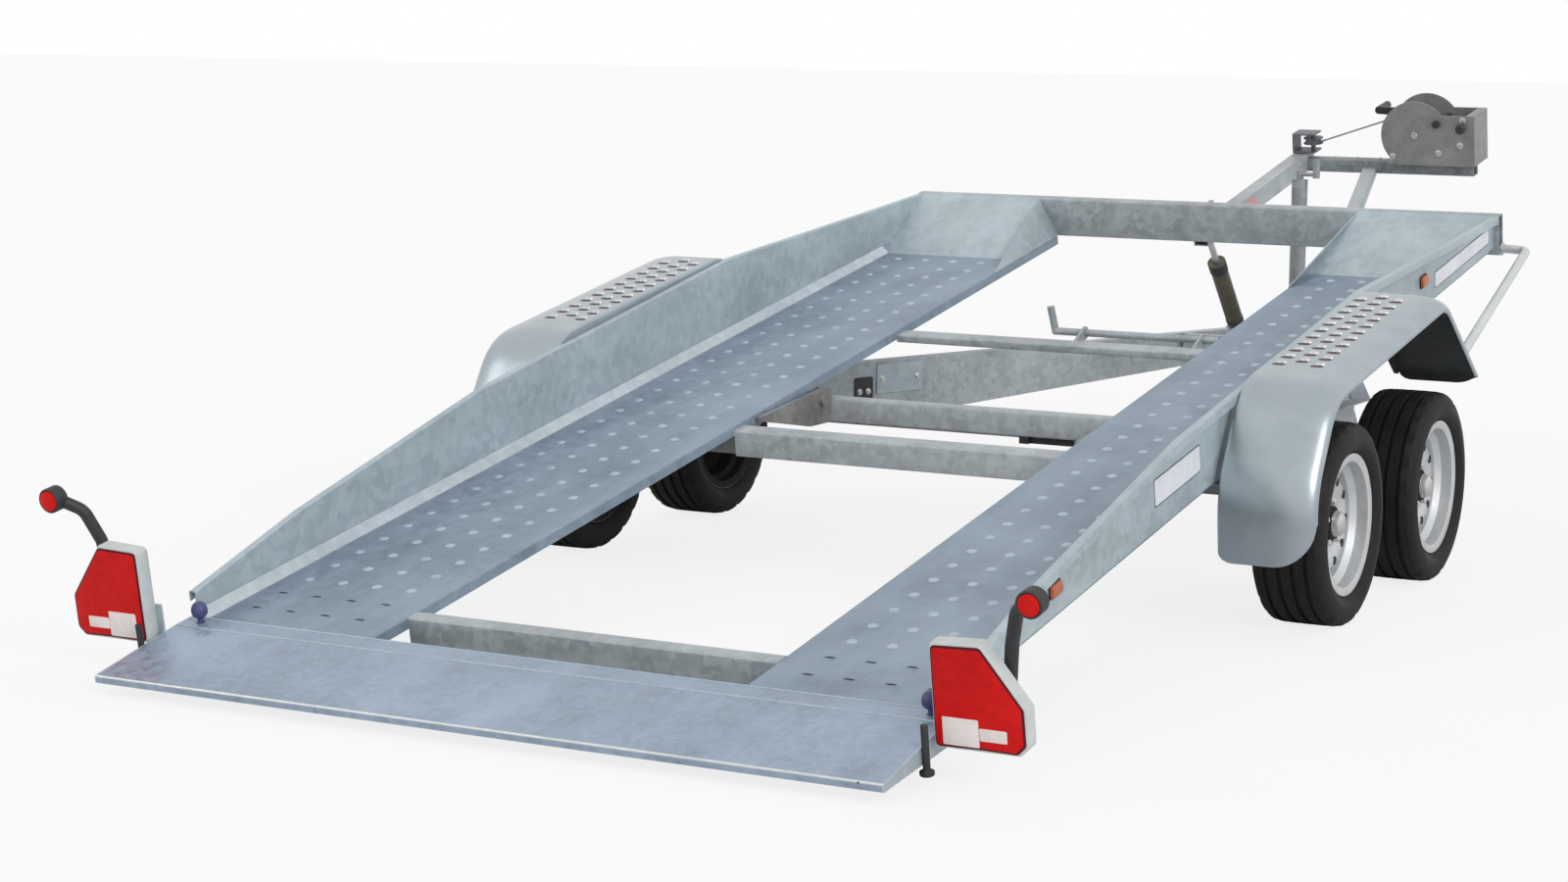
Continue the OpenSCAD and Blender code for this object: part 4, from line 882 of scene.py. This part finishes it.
# The hub also gets the near-black finish: painted shade inside the wheel.
WHEEL_PARTS = ((BARREL, rim_mat, 72, True), (SHADED_BACK, rim_back_shade, 72, True),
               (DISC, rim_mat, 72, True), (HUB, rim_back_shade, 48, True), (HUB_CAP, zinc, 36, False))
NUT_COUNT, NUT_CIRCLE, HOLE_COUNT, HOLE_CIRCLE = 5, 0.056, 10, 0.107
NUT_SEAT = [(0.0, 0.013), (0.004, 0.0125), (0.006, 0.009)]
NUT = [(0.005, 0.0095), (0.018, 0.0095), (0.021, 0.006)]
HOLE = [(-0.0012, 0.0115), (0.0003, 0.0112), (0.0006, 0.009)]

profile = tyre_profile()
TREAD_CUT, TREAD_EVERY = 0.0055, 5
blocks = {i for i, (h, r) in enumerate(profile) if 0.060 < abs(h) < 0.090 and r > WHEEL_R - 0.013}
for end, y in (("front", AXLES[1]), ("rear", AXLES[0])):
    for side, hand in ((-1, "left"), (1, "right")):
        body = f"{end}_{hand}_wheel"
        hub, out = (side * WHEEL_X, y, WHEEL_R), (side, 0, 0)
        tyre = Piece(f"{end}_{hand}_tyre_treaded", body, "tyre_rubber", ground)
        tyre.turned(hub, out, profile, tyre_mat, 120, True,
                    lambda i, j: -TREAD_CUT if i in blocks and j % TREAD_EVERY == 0 else 0)
        tyre.done(f"{end}_{hand}_tyre", smooth=28)
        rim = Piece(f"{end}_{hand}_rim_pressed", body, "rim_silver", ground)
        for section, mat, n, closed in WHEEL_PARTS:
            rim.turned(hub, out, section, mat, n, closed)
        for k in range(NUT_COUNT):
            t = 2 * math.pi * (k + 0.25) / NUT_COUNT
            at = (side * (WHEEL_X + 0.026), y + NUT_CIRCLE * math.cos(t),
                  WHEEL_R + NUT_CIRCLE * math.sin(t))
            rim.turned(at, out, NUT_SEAT, zinc, 18)
            rim.turned(at, out, NUT, zinc, 6)
        # The disc's holes are near-black discs: painted shade.
        for k in range(HOLE_COUNT):
            t = 2 * math.pi * k / HOLE_COUNT
            at = (side * (WHEEL_X + 0.0371), y + HOLE_CIRCLE * math.cos(t),
                  WHEEL_R + HOLE_CIRCLE * math.sin(t))
            rim.turned(at, out, HOLE, gap_shade, 18)
        rim.done(f"{end}_{hand}_rim")

# The carried-over solids get softened edges
SOFT_EDGE = 0.0012
for name in CAD_LOOKS:
    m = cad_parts[name].modifiers.new("soft_edges", "BEVEL")
    m.width, m.segments, m.limit_method, m.angle_limit = SOFT_EDGE, 2, "ANGLE", math.radians(40)
    m.use_clamp_overlap = True

# Camera
CAMERA_AT, LENS_MM = (3.6926, -8.4036, 1.5635), 72.2
YAW, PITCH, ROLL = math.radians(-28.40), math.radians(-7.91), math.radians(0.46)
ahead = Vector((math.sin(YAW) * math.cos(PITCH), math.cos(YAW) * math.cos(PITCH), math.sin(PITCH)))
right = Vector((math.cos(YAW), -math.sin(YAW), 0))
up = right.cross(ahead)
right, up = (right * math.cos(ROLL) + up * math.sin(ROLL),
             up * math.cos(ROLL) - right * math.sin(ROLL))
camera = bpy.data.objects.new("camera", bpy.data.cameras.new("camera"))
camera.matrix_world = Matrix.Translation(CAMERA_AT) @ Matrix(
    (right, up, -ahead)).transposed().to_4x4()
camera.data.lens, camera.data.sensor_width = LENS_MM, 36.0
camera.data.clip_end = 100
bpy.context.scene.collection.objects.link(camera)
bpy.context.scene.camera = camera

# Floor, lamps and surroundings
SUN_WIDTH, SOFT_LIGHT = 28, 0.66
FLOOR_HALF, FLOOR_Z, FLOOR_GLOW = 60.0, -0.0005, 0.82


def lamp(name, at, power):
    """A wide sun, shining from the point given towards the frame's origin."""
    data = bpy.data.lights.new(name, "SUN")
    data.energy, data.angle = power, math.radians(SUN_WIDTH)
    ob = bpy.data.objects.new(name, data)
    ob.location = at
    ob.rotation_euler = (-Vector(at)).to_track_quat("-Z", "Y").to_euler()
    bpy.context.scene.collection.objects.link(ob)


lamp("key", (8.0, -4.5, 5.0), 1.15)
lamp("fill", (-7.0, -5.0, 5.0), 0.35)

floor_mesh = bpy.data.meshes.new("floor")
floor_mesh.from_pydata([(a * FLOOR_HALF, b * FLOOR_HALF, FLOOR_Z)
                        for a, b in ((-1, -1), (1, -1), (1, 1), (-1, 1))], [], [(0, 1, 2, 3)])
floor = bpy.data.objects.new("floor", floor_mesh)
bpy.context.scene.collection.objects.link(floor)
pale = Shader("pale_floor")
floor_mesh.materials.append(pale.use(
    pale.ramp(pale.noise(0.8, 3.0), (0.3, (0.80, 0.80, 0.80)), (0.7, (0.83, 0.83, 0.83))),
    pale.span(pale.noise(3.0), 0.85, 0.95)))
rays = pale.tree.nodes.new("ShaderNodeLightPath")
glow = pale.tree.nodes.new("ShaderNodeEmission")
glow.inputs[0].default_value, glow.inputs[1].default_value = (1, 1, 1, 1), 1.0
share = pale.node("Math", {0: rays.outputs["Is Camera Ray"]}, operation="MULTIPLY")
share.inputs[1].default_value = FLOOR_GLOW
mix = pale.tree.nodes.new("ShaderNodeMixShader")
pale.tree.links.new(share.outputs[0], mix.inputs[0])
pale.tree.links.new(pale.main.outputs[0], mix.inputs[1])
pale.tree.links.new(glow.outputs[0], mix.inputs[2])
pale.tree.links.new(mix.outputs[0], pale.tree.nodes["Material Output"].inputs[0])

world = bpy.data.worlds.new("surroundings")
bpy.context.scene.world = world
world.use_nodes = True
tree = world.node_tree
tree.nodes.clear()
out = tree.nodes.new("ShaderNodeOutputWorld")
mix = tree.nodes.new("ShaderNodeMixShader")
soft, plain_white = tree.nodes.new("ShaderNodeBackground"), tree.nodes.new("ShaderNodeBackground")
soft.inputs[0].default_value, soft.inputs[1].default_value = (0.97, 0.985, 1.0, 1), SOFT_LIGHT
plain_white.inputs[0].default_value, plain_white.inputs[1].default_value = (1, 1, 1, 1), 1.0
rays = tree.nodes.new("ShaderNodeLightPath")
seen = rays.outputs["Is Camera Ray"]
for kind in ("Is Glossy Ray", "Is Transmission Ray"):
    both = tree.nodes.new("ShaderNodeMath")
    both.operation = "MAXIMUM"
    tree.links.new(seen, both.inputs[0])
    tree.links.new(rays.outputs[kind], both.inputs[1])
    seen = both.outputs[0]
tree.links.new(seen, mix.inputs[0])
tree.links.new(soft.outputs[0], mix.inputs[1])
tree.links.new(plain_white.outputs[0], mix.inputs[2])
tree.links.new(mix.outputs[0], out.inputs[0])
bpy.context.scene.view_settings.view_transform = "Standard"
